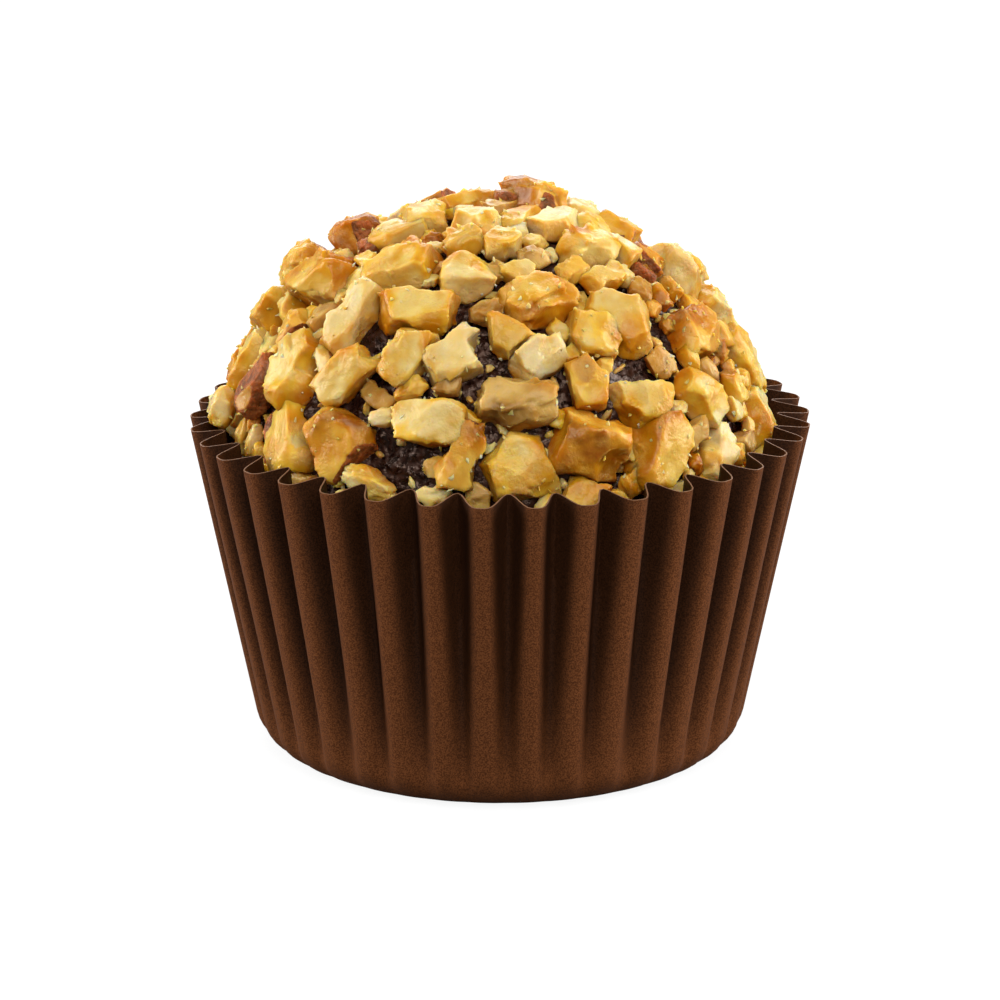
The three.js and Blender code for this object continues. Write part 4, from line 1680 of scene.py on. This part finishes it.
@dataclass
class Scatter:
    """Small bits strewn over other pieces by geometry nodes, with sizes in millimetres."""

    cluster_waves: ClassVar[float] = 330.0
    cluster_span: ClassVar[Span] = (0.42, 0.6)
    dent_waves: ClassVar[float] = 2.6

    name: str
    spacing: float
    smallest: Triple
    largest: Triple
    finish: Finish
    seed: int
    share: float = 1.0
    mask: str = ""
    jaggedness: float = 0.5
    roundness: int = 1
    clusters: float = 0.0
    smooth: bool = True

    def graph(self, inputs: Mapping[str, object]) -> NodeGraph:
        """Builds the tree: points on the host's faces, each with a bit turned its own way.

        Args:
            inputs: the value of each named input.

        Returns:
            The graph of the tree.
        """
        graph = NodeGraph.for_geometry(self.name, inputs)
        given = graph.given
        factor: Number = given["Share"]
        if self.mask:
            mask = {"Name": self.mask}
            carried = graph.add("GeometryNodeInputNamedAttribute", mask, data_type="FLOAT")
            factor = factor * graph.out(carried, "Attribute")
        where = graph.out(graph.add("GeometryNodeInputPosition"))
        crowd = graph.stepped(graph.noise(where, self.cluster_waves), *self.cluster_span)
        factor = factor * (1.0 - given["Clusters"] * (1.0 - crowd))
        spread = {
            "Mesh": given["Geometry"],
            "Distance Min": given["Spacing"],
            "Density Max": (given["Spacing"] * given["Spacing"]) ** -1.0,
            "Density Factor": factor,
            "Seed": given["Seed"],
        }
        kind = "GeometryNodeDistributePointsOnFaces"
        spots = graph.add(kind, spread, distribute_method="POISSON").outputs["Points"]
        sphere = {"Radius": 0.5, "Subdivisions": given["Roundness"]}
        ball = graph.add("GeometryNodeMeshIcoSphere", sphere).outputs["Mesh"]
        on_ball = graph.out(graph.add("GeometryNodeInputPosition"))
        dents = graph.noise(on_ball, self.dent_waves, 1.0) - 0.5
        push = {0: on_ball, "Scale": dents * given["Jaggedness"] * 2.0}
        pushed = graph.add("ShaderNodeVectorMath", push, operation="SCALE").outputs[0]
        bit = graph.shaped("GeometryNodeSetPosition", ball, {"Offset": pushed})
        full_turn = (math.tau, math.tau, math.tau)
        bits_inputs = {
            "Instance": bit,
            "Rotation": self.drawn(graph, "FLOAT_VECTOR", 1, {"Max": full_turn}),
            "Scale": self.drawn(
                graph, "FLOAT_VECTOR", 2, {"Min": given["Smallest"], "Max": given["Largest"]}
            ),
        }
        bits = graph.shaped("GeometryNodeInstanceOnPoints", spots, bits_inputs)
        toasted = graph.stored(bits, "toast", self.drawn(graph, "FLOAT", 3), "INSTANCE")
        smooth = {"Shade Smooth": given["Smooth"]}
        graph.finished(graph.shaped("GeometryNodeSetShadeSmooth", toasted, smooth))
        return graph

    @staticmethod
    def drawn(
        graph: NodeGraph, kind: str, seed: int, inputs: Optional[Mapping[str, object]] = None
    ) -> Value:
        """Returns a random FLOAT or FLOAT_VECTOR for each point, between its Min and Max."""
        inputs = {**(inputs or {}), "Seed": seed}
        node = graph.add("FunctionNodeRandomValue", inputs, data_type=kind)
        return Value(graph, next(socket for socket in node.outputs if socket.enabled))

    def build(self, effects: SharedEffects, hosts: Iterable[bpy.types.Object]) -> bpy.types.Object:
        """Strews the bits and puts them on the body.

        Args:
            effects: the shared node groups.
            hosts: the pieces that the bits lie on.

        Returns:
            All the bits, as one piece.
        """
        inputs = {
            "Finish": self.finish.material(effects),
            "Spacing": self.spacing * MM,
            "Share": self.share,
            "Smallest": tuple(side * MM for side in self.smallest),
            "Largest": tuple(side * MM for side in self.largest),
            "Seed": self.seed,
            "Jaggedness": self.jaggedness,
            "Clusters": self.clusters,
            "Roundness": self.roundness,
            "Smooth": self.smooth,
        }
        piece = grown(self.name, self.graph(inputs), inputs, joined_copy(hosts))
        place(piece, "nut_coating")
        return piece


def joined_copy(hosts: Iterable[bpy.types.Object]) -> bpy.types.Mesh:
    """Returns one mesh with the faces and the bareness of several pieces.

    Args:
        hosts: the pieces.
    """
    points, faces, bare, count = [], [], [], 0
    for host in hosts:
        mesh = host.data
        place_of = np.empty(len(mesh.vertices) * 3)
        mesh.vertices.foreach_get("co", place_of)
        corners = np.empty(len(mesh.loops), dtype=np.int32)
        mesh.loops.foreach_get("vertex_index", corners)
        points.append(place_of.reshape(-1, 3))
        faces.append(corners.reshape(-1, 4) + count)
        carried = mesh.attributes.get("bare")
        amounts = np.ones(len(mesh.vertices))
        if carried:
            carried.data.foreach_get("value", amounts)
        bare.append(amounts)
        count += len(mesh.vertices)
    joined = bpy.data.meshes.new("host")
    joined.from_pydata(np.concatenate(points).tolist(), [], np.concatenate(faces).tolist())
    joined.attributes.new("bare", "FLOAT", "POINT").data.foreach_set("value", np.concatenate(bare))
    return joined


# ------------------------------------------------------------------ the studio


@dataclass(frozen=True)
class Lamp:
    """A square soft light that faces the sweet: millimetres, and its power in watts."""

    name: str
    place: Triple
    side: float
    power: float

    def build(self, target: Vector) -> None:
        """Hangs the lamp, aimed at a target in metres."""
        data = bpy.data.lights.new(self.name, "AREA")
        data.size = self.side * MM
        data.energy = self.power
        lamp = bpy.data.objects.new(self.name, data)
        lamp.location = Vector(self.place) * MM
        lamp.rotation_euler = (target - lamp.location).to_track_quat("-Z", "Y").to_euler()
        bpy.context.scene.collection.objects.link(lamp)


@dataclass
class Studio:
    """A pale floor, soft light and the camera, in millimetres but for its sight in metres."""

    target_height: float = 14.13
    distance: float = 356.0
    elevation: float = math.radians(17.31)
    lens: float = 222.2
    sensor: float = 36.0
    sight: Span = (0.01, 20.0)
    floor_size: float = 4000.0
    floor_drop: float = 0.02
    surround: float = 0.25
    lamps: tuple[Lamp, ...] = (
        Lamp("key", (50.0, -330.0, 360.0), 380.0, 2.65),
        Lamp("left_panel", (-430.0, 60.0, 140.0), 320.0, 2.8),
        Lamp("right_panel", (430.0, 60.0, 140.0), 320.0, 2.8),
        Lamp("back_panel", (0.0, 420.0, 260.0), 320.0, 1.6),
    )
    finish: FloorFinish = FloorFinish()

    def build(self, effects: SharedEffects) -> None:
        """Builds the floor, the lights and the camera."""
        self.build_floor(effects)
        self.build_light()
        self.build_camera()
        bpy.context.scene.view_settings.view_transform = "Standard"

    def build_floor(self, effects: SharedEffects) -> None:
        """Lays the floor."""
        half = self.floor_size / 2
        corners = np.array([[-half, -half], [half, -half], [half, half], [-half, half]])
        corners = np.column_stack([corners, np.full(4, -self.floor_drop)])
        floor = mesh_object("floor", corners, np.array([[0, 1, 2, 3]]))
        floor.data.materials.append(self.finish.material(effects))

    def build_light(self) -> None:
        """Sets the white surroundings and the lamps."""
        world = bpy.data.worlds.new("white_room")
        world.use_nodes = True
        world.node_tree.nodes.clear()
        graph = NodeGraph(world.node_tree)
        seen = graph.out(graph.add("ShaderNodeLightPath"), "Is Camera Ray")
        strength = self.surround + seen * (1.0 - self.surround)
        room = graph.add("ShaderNodeBackground", {"Color": (1.0, 1.0, 1.0), "Strength": strength})
        graph.add("ShaderNodeOutputWorld", {"Surface": room.outputs[0]})
        bpy.context.scene.world = world

        target = Vector((0, 0, self.target_height * MM))
        for lamp in self.lamps:
            lamp.build(target)

    def build_camera(self) -> None:
        """Sets the camera, in front of the sweet and above it."""
        data = bpy.data.cameras.new("camera")
        data.lens = self.lens
        data.sensor_width = self.sensor
        data.clip_start, data.clip_end = self.sight
        camera = bpy.data.objects.new("camera", data)
        target = Vector((0, 0, self.target_height))
        back = Vector((0, -math.cos(self.elevation), math.sin(self.elevation)))
        camera.location = (target + back * self.distance) * MM
        camera.rotation_euler = (-back).to_track_quat("-Z", "Y").to_euler()
        bpy.context.scene.collection.objects.link(camera)
        bpy.context.scene.camera = camera


# ------------------------------------------------------------------ the whole


def main() -> None:
    """Builds the whole sweet, in the order in which its pieces lie on each other."""
    logging.basicConfig(level=logging.INFO, format="%(name)s %(message)s")
    effects = SharedEffects()
    cup = PaperCup()
    cup.build(effects)
    ball = ChocolateBall()
    nuts = NutCoat(ball, cup)
    nuts.lay_out()
    core = ball.build(effects, nuts)
    coats = nuts.build(effects)
    crumb_finish = NutFinish("nut_crumb", (0.72, 0.6, 0.36), (0.68, 0.5, 0.22), (0.6, 0.36, 0.08))
    bit_finish = NutFinish("nut_bit", (0.6, 0.46, 0.22), (0.54, 0.35, 0.11), (0.38, 0.19, 0.04))
    grains = Scatter(
        "chocolate_grains",
        spacing=0.36,
        smallest=(0.1, 0.1, 0.2),
        largest=(0.22, 0.22, 0.42),
        finish=ChocolateFinish("chocolate_grain"),
        seed=5,
        mask="bare",
        jaggedness=0.8,
    )
    bits = Scatter(
        "nut_bits",
        spacing=0.8,
        smallest=(0.4, 0.3, 0.3),
        largest=(1.3, 0.85, 0.7),
        finish=bit_finish,
        seed=6,
        share=0.75,
        mask="bare",
        jaggedness=0.8,
        roundness=2,
    )
    crumbs = Scatter(
        "nut_crumbs",
        spacing=0.5,
        smallest=(0.16, 0.12, 0.1),
        largest=(0.6, 0.32, 0.22),
        finish=crumb_finish,
        seed=7,
        share=0.5,
        jaggedness=1.3,
        clusters=0.92,
        smooth=False,
    )
    for scatter, hosts in ((grains, [core]), (bits, [core]), (crumbs, coats)):
        scatter.build(effects, hosts)
    Studio().build(effects)


if __name__ == "__main__":
    main()
